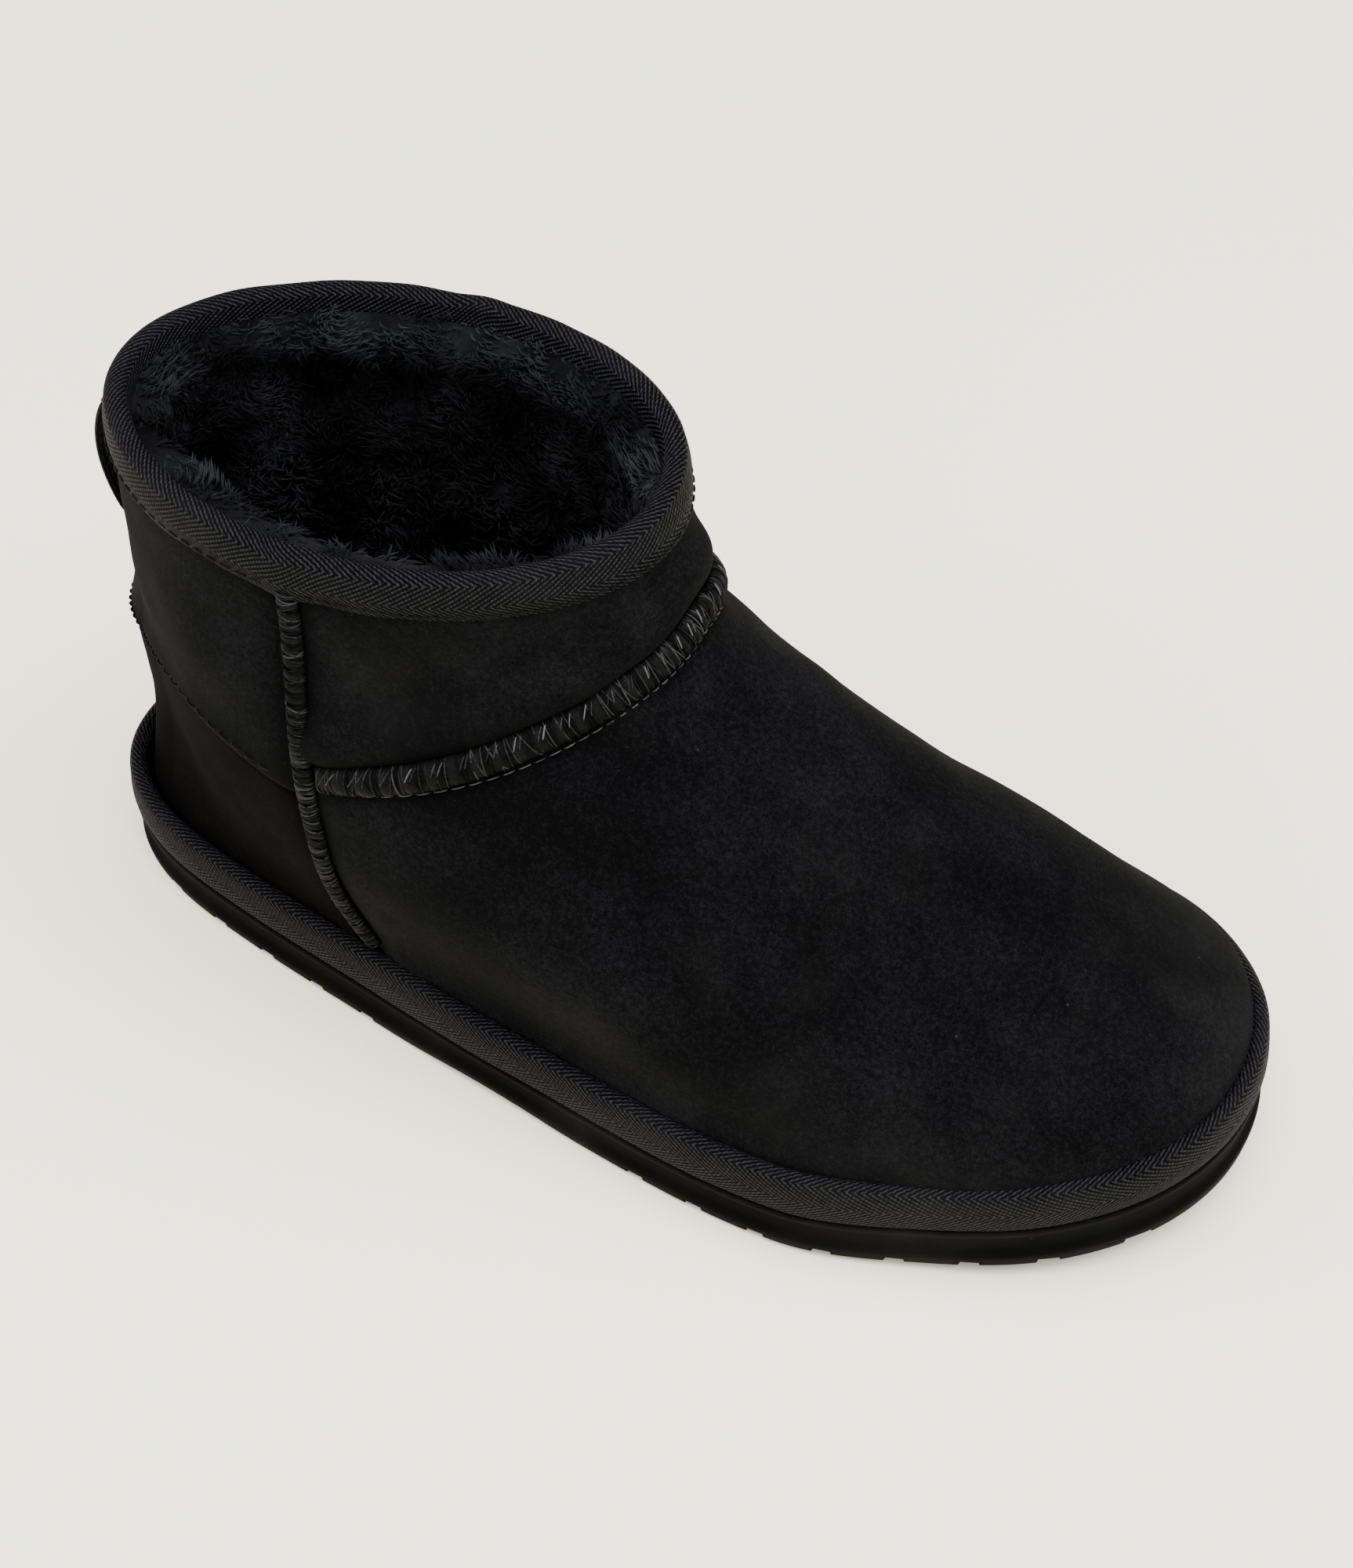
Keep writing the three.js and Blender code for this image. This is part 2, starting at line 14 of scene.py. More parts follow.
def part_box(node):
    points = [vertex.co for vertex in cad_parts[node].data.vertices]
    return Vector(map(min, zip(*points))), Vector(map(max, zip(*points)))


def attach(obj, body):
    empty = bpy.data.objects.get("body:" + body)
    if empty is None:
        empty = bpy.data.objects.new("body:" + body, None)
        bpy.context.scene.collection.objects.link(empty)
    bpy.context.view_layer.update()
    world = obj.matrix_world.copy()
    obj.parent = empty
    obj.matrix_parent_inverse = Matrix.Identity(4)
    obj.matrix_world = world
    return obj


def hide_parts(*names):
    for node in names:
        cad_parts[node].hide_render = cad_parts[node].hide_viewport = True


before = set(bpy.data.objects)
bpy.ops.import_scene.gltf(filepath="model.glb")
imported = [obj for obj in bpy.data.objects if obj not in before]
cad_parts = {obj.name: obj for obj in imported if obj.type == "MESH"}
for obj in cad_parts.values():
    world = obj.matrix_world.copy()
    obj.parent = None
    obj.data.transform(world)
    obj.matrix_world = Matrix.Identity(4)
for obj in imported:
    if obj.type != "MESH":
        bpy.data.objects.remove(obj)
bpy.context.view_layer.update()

Array = np.ndarray
MM = 0.001
BODY = "root"
FULL_TURN = 2 * math.pi
WAVE_COUNT = 14
ASIDE = np.array([0.31, 0.17, 0.93])  # a direction that no thread or lock follows for long
LINT = (0.16, 0.155, 0.145, 1)
log = logging.getLogger("boot")


# ---- Curves and fields ----

def smooth_step(value: Array) -> Array:
    """Ease from 0 to 1 with level ends: three squares less two cubes.

    Args:
        value: numbers, clipped to 0..1.
    Returns:
        The eased numbers.
    """
    s = np.clip(value, 0.0, 1.0)
    return s * s * (3 - 2 * s)


def bell(distance: Array, width: float) -> Array:
    """Gaussian bell of 1 at no distance: e to the minus square of distance over width."""
    return np.exp(-np.square(distance / width))


def along(keys: Array, table: Array, at: Array) -> Array:
    """Cubic pieces through a table's rows, with slopes taken from the neighbouring rows.

    Args:
        keys: the rows' places, rising.
        table: one value or one row of values for each place.
        at: places to read.
    Returns:
        The values there, with the table's columns as a last axis.
    """
    last = len(keys) - 1
    low = np.maximum(np.arange(last + 1) - 1, 0)
    high = np.minimum(np.arange(last + 1) + 1, last)
    extra = (1,) * (table.ndim - 1)
    slope = (table[high] - table[low]) / (keys[high] - keys[low]).reshape(-1, *extra)
    at = np.asarray(at, float)
    i = np.clip(np.searchsorted(keys, at) - 1, 0, last - 1)
    span = keys[i + 1] - keys[i]
    s = np.clip((at - keys[i]) / span, 0, 1).reshape(at.shape + extra)
    span = span.reshape(at.shape + extra)
    return ((2 * s**3 - 3 * s**2 + 1) * table[i] + (s**3 - 2 * s**2 + s) * span * slope[i]
            + (3 * s**2 - 2 * s**3) * table[i + 1] + (s**3 - s**2) * span * slope[i + 1])


def waves(points: Array, size: float, seed: int) -> Array:
    """Soft random field: the mean of sine waves in random directions, scaled to about -1..1.

    Args:
        points: places, in millimetres, with x, y, z as the last axis.
        size: usual width of one hump.
        seed: fixes the directions and phases.
    Returns:
        One number for each place.
    """
    rng = np.random.default_rng(seed)
    way = rng.normal(size=(WAVE_COUNT, 3))
    way /= np.linalg.norm(way, axis=1, keepdims=True)
    rate = math.pi / size * rng.uniform(0.7, 1.4, WAVE_COUNT)
    phase = rng.uniform(0, FULL_TURN, WAVE_COUNT)
    return np.sin(points @ (way * rate[:, None]).T + phase).sum(-1) / math.sqrt(WAVE_COUNT)


def unit(vectors: Array) -> Array:
    """Vectors along the last axis, each cut or stretched to length one."""
    return vectors / np.maximum(np.linalg.norm(vectors, axis=-1, keepdims=True), 1e-12)


def run_lengths(points: Array, axis: int) -> Array:
    """Length walked along one axis of a grid of points, from its first line.

    Args:
        points: grid with x, y, z as the last axis.
        axis: the axis that is walked.
    Returns:
        The walked length at each point.
    """
    steps = np.linalg.norm(np.diff(points, axis=axis), axis=-1)
    start = np.zeros_like(np.take(steps, [0], axis=axis))
    return np.concatenate([start, np.cumsum(steps, axis=axis)], axis=axis)


# ---- The last: the boot's own shape ----

@dataclass(frozen=True)
class Section:
    """One section of the upper's outside, from a point at the back to one at the front.

    rear, mid and fore are half widths at the last's three stations, and the shifts are how far the
    middle line lies to the inner side there. The rounds are the shares of the length over which each
    end is rounded.
    """

    back: float
    back_z: float
    front: float
    front_z: float
    rear: float
    mid: float
    fore: float
    rear_round: float
    fore_round: float
    rear_shift: float
    mid_shift: float
    fore_shift: float


@dataclass(frozen=True)
class SoleRow:
    """Half width and centre line of the sole at a share of its length from the heel."""

    at: float
    half: float
    centre: float


@dataclass
class Last:
    """Shape of the boot in millimetres, as functions of a level up the upper and a turn round it."""

    sole_length: float = 275.0
    sole_height: float = 12.9
    toe_spring: float = 10.5
    toe_spring_from: float = 0.63
    heel_spring: float = 0.3
    heel_spring_to: float = 0.15
    tread_spring: float = 0.8
    arch_rise: float = 1.8
    arch_from: float = -48.0
    arch_to: float = 6.0
    rand_height: float = 12.6
    rand_thickness: float = 5.0
    lasted_to: float = 0.3
    wall: float = 9.0
    rim_wall: float = 4.6
    pressed_from: float = 0.8
    heel_round: tuple[float, float] = (0.27, 2.39)
    toe_round: tuple[float, float] = (0.18, 2.15)
    heel_powers: tuple[float, float] = (2.4, 2.0)
    toe_powers: tuple[float, float] = (2.12, 2.0)
    stations: tuple[float, float, float] = (0.2, 0.5, 0.85)
    station_reach: tuple[float, float] = (0.06, 0.95)
    cad_columns: int = 48
    sole_rows: tuple[SoleRow, ...] = (
        SoleRow(0.0, 38.5, 0.2), SoleRow(0.18, 38.5, 0.2), SoleRow(0.45, 43.3, -6.3),
        SoleRow(0.7, 54.3, -1.2), SoleRow(0.86, 47.5, 4.0), SoleRow(1.0, 41.5, 6.5),
    )
    sections: tuple[Section, ...] = (
        Section(-131.0, 13.2, 130.5, 13.2, 33.0, 38.5, 49.0, 0.27, 0.26, 0.0, -5.0, 1.5),
        Section(-132.0, 26.0, 131.0, 25.0, 34.0, 40.5, 50.0, 0.27, 0.28, 0.0, -5.0, 1.5),
        Section(-132.0, 42.0, 121.0, 38.5, 35.8, 44.5, 47.8, 0.28, 0.36, 0.5, -3.5, 1.5),
        Section(-131.2, 58.0, 99.0, 53.6, 37.6, 46.8, 45.8, 0.31, 0.46, 1.0, -1.8, 2.8),
        Section(-129.6, 74.0, 71.0, 70.5, 38.8, 45.0, 42.0, 0.36, 0.54, 1.5, -0.2, 4.0),
        Section(-127.0, 88.0, 42.0, 88.0, 39.6, 43.0, 38.0, 0.42, 0.56, 2.5, 1.3, 4.8),
        Section(-126.0, 101.0, 16.0, 103.0, 40.0, 42.0, 37.5, 0.46, 0.56, 4.0, 3.5, 6.0),
        Section(-125.5, 120.0, 5.0, 122.0, 39.5, 41.0, 40.0, 0.49, 0.53, 5.5, 6.0, 8.0),
        Section(-124.5, 137.5, 1.0, 140.5, 39.5, 41.0, 42.5, 0.5, 0.5, 7.0, 8.0, 9.5),
    )
    centre_y: float = field(init=False)

    def __post_init__(self) -> None:
        """Work out the tables, and the sideways shift that centres the sole as the CAD frame does."""
        self.sole_keys = np.array([row.at for row in self.sole_rows])
        self.sole_table = np.array([[row.half, row.centre] for row in self.sole_rows])
        self.table = np.array([astuple(section) for section in self.sections])
        self.levels = np.linspace(0, 1, len(self.sections))
        self.centre_y = 0.0
        cad_turns = np.arange(self.cad_columns) / self.cad_columns * FULL_TURN
        y = self.sole_edge(cad_turns)[:, 1]
        low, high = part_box("outsole")
        self.centre_y = (y.min() + y.max()) / 2 - (low[1] + high[1]) / 2 / MM

    def spring(self, x: Array) -> Array:
        """Lift of the whole boot at toe and heel: a square of the share past each start.

        Args:
            x: places along the boot, in millimetres.
        Returns:
            The lift, in millimetres.
        """
        at = np.asarray(x) / self.sole_length + 0.5
        toe = np.clip((at - self.toe_spring_from) / (1 - self.toe_spring_from), 0, 1) ** 2
        heel = np.clip((self.heel_spring_to - at) / self.heel_spring_to, 0, 1) ** 2
        return self.toe_spring * toe + self.heel_spring * heel

    def tread_height(self, x: Array) -> Array:
        """Height of the tread: the spring and a sine-squared arch between heel and forefoot.

        Args:
            x: places along the boot, in millimetres.
        Returns:
            Heights over the floor, in millimetres.
        """
        arch = np.clip((np.asarray(x) - self.arch_from) / (self.arch_to - self.arch_from), 0, 1)
        return self.spring(x) * self.tread_spring + self.arch_rise * np.sin(math.pi * arch) ** 2

    @staticmethod
    def end_round(at: Array, length: Array, power: Array) -> Array:
        """Rounding of an outline's end, 0 at the tip and 1 from the given length on: a superellipse."""
        return (1 - np.clip(1 - at / length, 0, 1) ** power) ** (1 / power)

    def sole_edge(self, turn: Array) -> Array:
        """Plan points of the sole's outline. Turn 0 is the heel, and it goes by the outer side.

        Args:
            turn: turns round the foot.
        Returns:
            Plan points, x and y as the last axis.
        """
        at = (1 - np.cos(turn)) / 2
        side = np.where(np.sin(turn) >= 0, -1.0, 1.0)
        half, centre = np.moveaxis(along(self.sole_keys, self.sole_table, at), -1, 0)
        half = half * self.end_round(at, *self.heel_round) * self.end_round(1 - at, *self.toe_round)
        return np.stack([(at - 0.5) * self.sole_length, centre + side * half - self.centre_y], -1)

    def sole_outline(self, turn: Array, inset: Array) -> Array:
        """The outline moved inwards along its own normal.

        Args:
            turn: turns round the foot.
            inset: distance inwards, in millimetres.
        Returns:
            Plan points, x and y as the last axis.
        """
        step = 0.02
        way = unit(self.sole_edge(turn + step) - self.sole_edge(turn - step))
        inward = np.stack([-way[..., 1], way[..., 0]], -1)
        return self.sole_edge(turn) + inward * np.asarray(inset)[..., None]

    def by_station(self, values: Array, at: Array) -> Array:
        """Parabola through the values at the rear, middle and front stations.

        Args:
            values: the three values as the last axis.
            at: shares of the length, from the back.
        Returns:
            The parabola's values there.
        """
        total = 0.0
        for i, here in enumerate(self.stations):
            weight = 1.0
            for other in self.stations:
                if other != here:
                    weight = weight * (at - other) / (here - other)
            total = total + values[..., i] * weight
        return total

    def skin(self, level: Array, turn: Array) -> Array:
        """Point of the upper's outside: a rounded section, drawn to the sole's outline near the sole.

        Args:
            level: from 0 at the sole to 1 at the rim.
            turn: from 0 at the heel by the outer side to a full turn.
        Returns:
            Points in millimetres.
        """
        level, turn = np.broadcast_arrays(np.asarray(level, float), np.asarray(turn, float))
        v = along(self.levels, self.table, level)
        at = (1 - np.cos(turn)) / 2
        side = np.where(np.sin(turn) >= 0, -1.0, 1.0)
        station = np.clip(at, *self.station_reach)
        heel_power = self.heel_powers[0] + (self.heel_powers[1] - self.heel_powers[0]) * level
        toe_power = self.toe_powers[0] + (self.toe_powers[1] - self.toe_powers[0]) * level
        half = (self.by_station(v[..., 4:7], station) * self.end_round(at, v[..., 7], heel_power)
                * self.end_round(1 - at, v[..., 8], toe_power))
        y_own = self.by_station(v[..., 9:12], station) + side * half - self.centre_y
        x_own = v[..., 0] + (v[..., 2] - v[..., 0]) * at
        z = v[..., 1] + (v[..., 3] - v[..., 1]) * at + self.spring(x_own)
        foot = self.sole_outline(turn, np.full(turn.shape, self.rand_thickness))
        own = smooth_step(level / self.lasted_to)
        x = foot[..., 0] + (x_own - foot[..., 0]) * own
        return np.stack([x, foot[..., 1] + (y_own - foot[..., 1]) * own, z], -1)

    def normal(self, level: Array, turn: Array) -> Array:
        """Outward unit normal of the skin, from differences along the turn and up the level.

        Args:
            level: from 0 at the sole to 1 at the rim.
            turn: turns round the foot.
        Returns:
            Unit vectors.
        """
        step = 0.004
        up = self.skin(np.minimum(level + step, 1), turn) - self.skin(np.maximum(level - step, 0), turn)
        way = self.skin(level, turn + 5 * step) - self.skin(level, turn - 5 * step)
        return unit(np.cross(way, up))

    def wall_at(self, level: Array) -> Array:
        """Wall thickness: full from the sole up, thinner where the binding presses the wool."""
        share = smooth_step((level - self.pressed_from) / (1 - self.pressed_from))
        return self.wall + (self.rim_wall - self.wall) * share

    def turn_at_x(self, level: Array, x: Array) -> Array:
        """Turn on the outer side at which the section at a level has a given x."""
        v = along(self.levels, self.table, level)
        return np.arccos(np.clip(1 - 2 * (x - v[..., 0]) / (v[..., 2] - v[..., 0]), -1, 1))

    def level_at_drop(self, turn: Array, drop: Array) -> Array:
        """Level that lies a given height below the rim, by halving the interval.

        Args:
            turn: turns round the foot.
            drop: heights below the rim, in millimetres.
        Returns:
            The levels.
        """
        turn, drop = np.broadcast_arrays(np.asarray(turn, float), np.asarray(drop, float))
        goal = self.skin(np.ones_like(turn), turn)[..., 2] - drop
        low, high = np.zeros_like(turn), np.ones_like(turn)
        for _ in range(18):
            middle = (low + high) / 2
            under = self.skin(middle, turn)[..., 2] < goal
            low, high = np.where(under, middle, low), np.where(under, high, middle)
        return high


@dataclass
class SeamLines:
    """Where the seams run on the last."""

    last: Last
    side_keys: tuple[float, ...] = (0.0, 0.11, 0.2, 0.4, 0.65, 0.95)
    side_x: tuple[float, ...] = (-42.0, -48.0, -54.0, -57.0, -59.5, -61.0)
    instep_side_level: float = 0.605
    instep_front_level: float = 0.83
    instep_turn: float = math.radians(80.4)
    instep_power: float = 1.5
    counter_back_level: float = 0.48
    counter_side_level: float = 0.555
    counter_turn: float = math.radians(52)

    def side_turn(self, level: Array) -> Array:
        """Turn of the outer side seam at a level: it leans forward towards the sole."""
        x = along(np.array(self.side_keys), np.array(self.side_x), level)
        return self.last.turn_at_x(level, x)

    def instep_level(self, turn: Array) -> Array:
        """Level of the instep seam: highest at the front, falling off by a power of the turn away."""
        away = np.clip(np.abs(turn - math.pi) / (math.pi - self.instep_turn), 0, 1.2)
        return (self.instep_front_level
                - (self.instep_front_level - self.instep_side_level) * away**self.instep_power)

    def counter_level(self, turn: Array) -> Array:
        """Level of the lapped seam over the heel counter: lowest at the back."""
        share = smooth_step(np.abs(turn) / self.counter_turn)
        return self.counter_back_level + (self.counter_side_level - self.counter_back_level) * share


# ---- Meshes ----

@dataclass
class MeshMaker:
    """Collects grids and repeated shapes and turns them into one Blender mesh."""

    name: str
    points: list[Array] = field(default_factory=list)
    faces: list[Array] = field(default_factory=list)
    uvs: list[Array] = field(default_factory=list)
    tones: list[Array] = field(default_factory=list)
    count: int = 0

    def add(self, points: Array, faces: Array, uv: Optional[Array] = None,
            tone: Optional[Array] = None) -> None:
        """Add a body.

        Args:
            points: its vertices, in millimetres.
            faces: vertex numbers, one row for each face.
            uv: one pair for each corner of each face, in millimetres along and across.
            tone: one number for each vertex, read by the finishes.
        """
        flat = points.reshape(-1, 3)
        self.points.append(flat)
        self.faces.append(faces + self.count)
        self.uvs.append(np.zeros(faces.shape + (2,)) if uv is None else uv)
        self.tones.append(np.full(len(flat), 0.5) if tone is None else tone.reshape(-1))
        self.count += len(flat)

    def add_faces(self, faces: Array) -> None:
        """Add faces between vertices that are in already, with no map of their own."""
        self.faces.append(faces)
        self.uvs.append(np.zeros(faces.shape + (2,)))

    def add_grid(self, points: Array, uv: Optional[Array] = None, wrap_rows: bool = False,
                 wrap_columns: bool = False, tone: Optional[Array] = None, turned: bool = False) -> None:
        """Add a grid of points as quads.

        Args:
            points: rows by columns of points.
            uv: the same grid, one longer along each wrapped axis, with a pair for each place.
            wrap_rows: whether the last row joins the first.
            wrap_columns: whether the last column joins the first.
            tone: one number for each point.
            turned: whether the faces look the other way.
        """
        rows, columns = points.shape[:2]
        r, c = np.meshgrid(np.arange(rows - (not wrap_rows)), np.arange(columns - (not wrap_columns)),
                           indexing="ij")
        corner_r = np.stack([r, r, r + 1, r + 1], -1)
        corner_c = np.stack([c, c + 1, c + 1, c], -1)
        if turned:
            corner_r, corner_c = corner_r[..., ::-1], corner_c[..., ::-1]
        faces = (corner_r % rows) * columns + corner_c % columns
        corners = None if uv is None else uv[corner_r, corner_c].reshape(-1, 4, 2)
        self.add(points, faces.reshape(-1, 4), corners, tone)

    def build(self, slot: str, stands_for: tuple[str, ...] = ()) -> bpy.types.Object:
        """Make the object, smooth, at the origin, riding on the boot.

        Args:
            slot: the record's material slot; not used.
            stands_for: CAD nodes that this piece replaces.
        Returns:
            The new object.
        """
        points = np.concatenate(self.points) * MM
        mesh = bpy.data.meshes.new(self.name)
        mesh.vertices.add(len(points))
        mesh.vertices.foreach_set("co", points.astype(np.float32).ravel())
        sizes = np.concatenate([np.full(len(f), f.shape[1]) for f in self.faces])
        loops = np.concatenate([f.ravel() for f in self.faces])
        mesh.loops.add(len(loops))
        mesh.loops.foreach_set("vertex_index", loops.astype(np.int32))
        mesh.polygons.add(len(sizes))
        starts = np.concatenate([[0], np.cumsum(sizes)[:-1]])
        mesh.polygons.foreach_set("loop_start", starts.astype(np.int32))
        mesh.polygons.foreach_set("use_smooth", np.ones(len(sizes), bool))
        layer = mesh.uv_layers.new(name="cloth")
        corner_uv = np.concatenate([u.reshape(-1, 2) for u in self.uvs])
        layer.data.foreach_set("uv", corner_uv.astype(np.float32).ravel())
        tone = mesh.attributes.new("tone", "FLOAT", "POINT")
        tone.data.foreach_set("value", np.concatenate(self.tones).astype(np.float32))
        mesh.update(calc_edges=True)
        mesh.validate()
        piece = bpy.data.objects.new(self.name, mesh)
        bpy.context.scene.collection.objects.link(piece)
        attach(piece, BODY)
        if stands_for:
            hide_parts(*stands_for)
        log.info("%s: %d points, %d faces", self.name, len(points), len(sizes))
        return piece


def add_caps(maker: MeshMaker, rows: int, columns: int, turned: bool) -> None:
    """Close the first and last ring of the grid added last, by strips across them.

    Args:
        maker: holds the grid.
        rows: rings in the grid.
        columns: even number of points in a ring, starting at the heel.
        turned: whether the grid's faces were turned.
    """
    base = maker.count - rows * columns
    i = np.arange(columns // 2)
    strip = np.stack([i, i + 1, (columns - i - 1) % columns, (columns - i) % columns], -1)
    for first in (True, False):
        quads = strip + base + (0 if first else (rows - 1) * columns)
        if first != turned:
            quads = quads[:, ::-1]
        tips = np.stack([quads[0, :3], quads[-1, [0, 1, 3]]])
        maker.add_faces(quads[1:-1])
        maker.add_faces(tips)


def rings_about(way: Array, sides: int) -> Array:
    """Rings of radius one, square to directions.

    Args:
        way: bars by steps of unit directions.
        sides: points in a ring.
    Returns:
        Bars by steps by sides of offsets.
    """
    across = unit(np.cross(way, ASIDE))
    high = np.cross(across, way)
    angle = np.arange(sides) / sides * FULL_TURN
    return across[:, :, None] * np.cos(angle)[:, None] + high[:, :, None] * np.sin(angle)[:, None]


def add_rounds(maker: MeshMaker, paths: Array, radii: Array, tone: Array, sides: int = 6) -> None:
    """Add many round bars, each a ring carried along its own path, closed at both ends.

    Args:
        maker: takes the bars.
        paths: bars by steps of points.
        radii: radius for each bar and step, or anything that fits that shape.
        tone: one number for each bar.
        sides: points in a ring.
    """
    bars, steps = paths.shape[:2]
    radii = np.broadcast_to(radii, (bars, steps))[..., None, None]
    points = paths[:, :, None] + rings_about(unit(np.gradient(paths, axis=1)), sides) * radii
    s, k = np.meshgrid(np.arange(steps - 1), np.arange(sides), indexing="ij")
    after = (k + 1) % sides
    quad = np.stack([s * sides + k, s * sides + after, (s + 1) * sides + after, (s + 1) * sides + k], -1)
    offset = (np.arange(bars) * steps * sides)[:, None, None]
    base = maker.count
    maker.add(points, (quad.reshape(-1, 4)[None, :, ::-1] + offset).reshape(-1, 4), None,
              np.repeat(tone, steps * sides))
    caps = np.stack([np.arange(sides), (steps - 1) * sides + np.arange(sides)[::-1]])
    maker.add_faces((caps[None] + offset).reshape(-1, sides) + base)


def add_spikes(maker: MeshMaker, paths: Array, radii: Array, tone: Array, shade: Array) -> None:
    """Add many thin three-sided spikes, each with two rings of corners and a pointed end.

    Args:
        maker: takes the spikes.
        paths: spikes by three places, from the root to the tip.
        radii: radius of the first two rings, for each spike.
        tone: one number for each spike.
        shade: how the tone grows from root to tip.
    """
    count = len(paths)
    ring = rings_about(unit(paths[:, 1:] - paths[:, :-1]), 3)
    rings = paths[:, :2, None] + ring * radii[:, :, None, None]
    points = np.concatenate([rings.reshape(count, 6, 3), paths[:, 2:]], 1)
    k = np.arange(3)
    after = (k + 1) % 3
    lower = np.concatenate([np.stack([after, k, k + 3], -1), np.stack([after, k + 3, after + 3], -1)])
    upper = np.stack([after + 3, k + 3, np.full(3, 6)], -1)
    faces = np.concatenate([[[0, 1, 2]], lower, upper])
    offset = (np.arange(count) * 7)[:, None, None]
    tones = np.clip(tone[:, None] * np.repeat(shade, [3, 3, 1])[None, :], 0, 1)
    maker.add(points, (faces[None] + offset).reshape(-1, 3), None, tones)


# ---- Finishes ----

class Pattern(Enum):
    """Which way a piece's surface is patterned."""

    NAP = "nap"
    TWILL = "twill"
    RIBBON = "ribbon"
    WOOL = "wool"
    THREAD = "thread"
    RUBBER = "rubber"


@dataclass(frozen=True)
class Finish:
    """One finish: its colours, gloss and the depth of its pattern."""

    name: str
    pattern: Pattern
    dark: tuple[float, float, float]
    light: tuple[float, float, float]
    roughness: float
    bump: float
    sheen: float = 0.0
    sheen_roughness: float = 0.5
    dust: float = 0.0
    specular: float = 0.5


SUEDE = Finish("sheepskin_suede", Pattern.NAP, (0.0009, 0.0009, 0.0011), (0.0083, 0.008, 0.0095),
               0.95, 0.7, sheen=0.007, sheen_roughness=0.5, dust=0.14, specular=0.022)
COUNTER_SUEDE = Finish("counter_suede", Pattern.NAP, (0.0006, 0.0005, 0.0005), (0.0035, 0.0028, 0.003),
                       0.95, 0.6, sheen=0.003, sheen_roughness=0.5, dust=0.08, specular=0.015)
TWILL = Finish("herringbone_twill", Pattern.TWILL, (0.0002, 0.0002, 0.0003), (0.0198, 0.0188, 0.0222),
               0.62, 1.0, dust=0.12, specular=0.03)
RIBBON = Finish("ribbon", Pattern.RIBBON, (0.0003, 0.0003, 0.0004), (0.0074, 0.0069, 0.0082),
                0.62, 0.9, specular=0.03)
WOOL = Finish("sheared_wool", Pattern.WOOL, (0.0006, 0.0006, 0.0008), (0.0195, 0.0197, 0.0225),
              0.92, 0.6, sheen=0.015, sheen_roughness=0.4, specular=0.03)
THREAD = Finish("seam_thread", Pattern.THREAD, (0.002, 0.002, 0.0022), (0.085, 0.081, 0.082),
                0.5, 0.4, specular=0.15)
SIDE_THREAD = Finish("side_seam_thread", Pattern.THREAD, (0.0003, 0.0003, 0.0004), (0.034, 0.0325, 0.035),
                     0.6, 0.6, specular=0.04)
DARK_THREAD = Finish("sewing_thread", Pattern.THREAD, (0.0005, 0.0005, 0.0006), (0.006, 0.006, 0.0065),
                     0.6, 0.6, specular=0.04)
RUBBER = Finish("foam_rubber", Pattern.RUBBER, (0.0007, 0.0007, 0.0007), (0.0056, 0.0051, 0.0054),
                0.7, 0.35, dust=0.16, specular=0.03)


class Tree:
    """Short hand for making and joining shader nodes in one tree."""

    def __init__(self, tree: bpy.types.NodeTree) -> None:
        """Keep the tree that nodes go in."""
        self.tree = tree

    def node(self, kind: str, inputs: Optional[dict] = None, **settings: object) -> bpy.types.Node:
        """Make a node.

        Args:
            kind: the node's type.
            inputs: values or sockets for its inputs, by name or number.
            settings: its properties.
        Returns:
            The node.
        """
        made = self.tree.nodes.new(kind)
        for key, value in settings.items():
            setattr(made, key, value)
        for key, value in (inputs or {}).items():
            if isinstance(value, bpy.types.NodeSocket):
                self.tree.links.new(value, made.inputs[key])
            else:
                made.inputs[key].default_value = value
        return made

    def math(self, operation: str, *values: object) -> bpy.types.NodeSocket:
        """Sum, product or other operation on numbers or sockets."""
        made = self.node("ShaderNodeMath", dict(enumerate(values)), operation=operation)
        return made.outputs[0]

    def noise(self, where: bpy.types.NodeSocket, scale: float, detail: float = 3.0,
              rough: float = 0.55) -> bpy.types.NodeSocket:
        """Noise value between 0 and 1 on given coordinates."""
        made = self.node("ShaderNodeTexNoise", {"Vector": where, "Scale": scale, "Detail": detail,
                                                "Roughness": rough})
        return made.outputs["Fac"]

    def spread(self, value: bpy.types.NodeSocket, low: float, high: float,
               to_low: float = 0.0, to_high: float = 1.0) -> bpy.types.NodeSocket:
        """Value stretched smoothly from one range to another.

        Args:
            value: the socket that is read.
            low: value that becomes to_low.
            high: value that becomes to_high.
            to_low: result at the low end.
            to_high: result at the high end.
        Returns:
            The result's socket.
        """
        made = self.node("ShaderNodeMapRange", {"Value": value, "From Min": low, "From Max": high,
                                                "To Min": to_low, "To Max": to_high})
        made.interpolation_type = "SMOOTHSTEP"
        return made.outputs["Result"]

    def mix(self, share: object, a: object, b: object) -> bpy.types.NodeSocket:
        """Colour between two colours.

        Args:
            share: how much of the second, a number or a socket.
            a: the first colour, or its socket.
            b: the second colour, or its socket.
        Returns:
            The colour's socket.
        """
        made = self.node("ShaderNodeMix", data_type="RGBA")
        for key, value in ((0, share), (6, a), (7, b)):
            if isinstance(value, bpy.types.NodeSocket):
                self.tree.links.new(value, made.inputs[key])
            else:
                made.inputs[key].default_value = value
        return made.outputs[2]


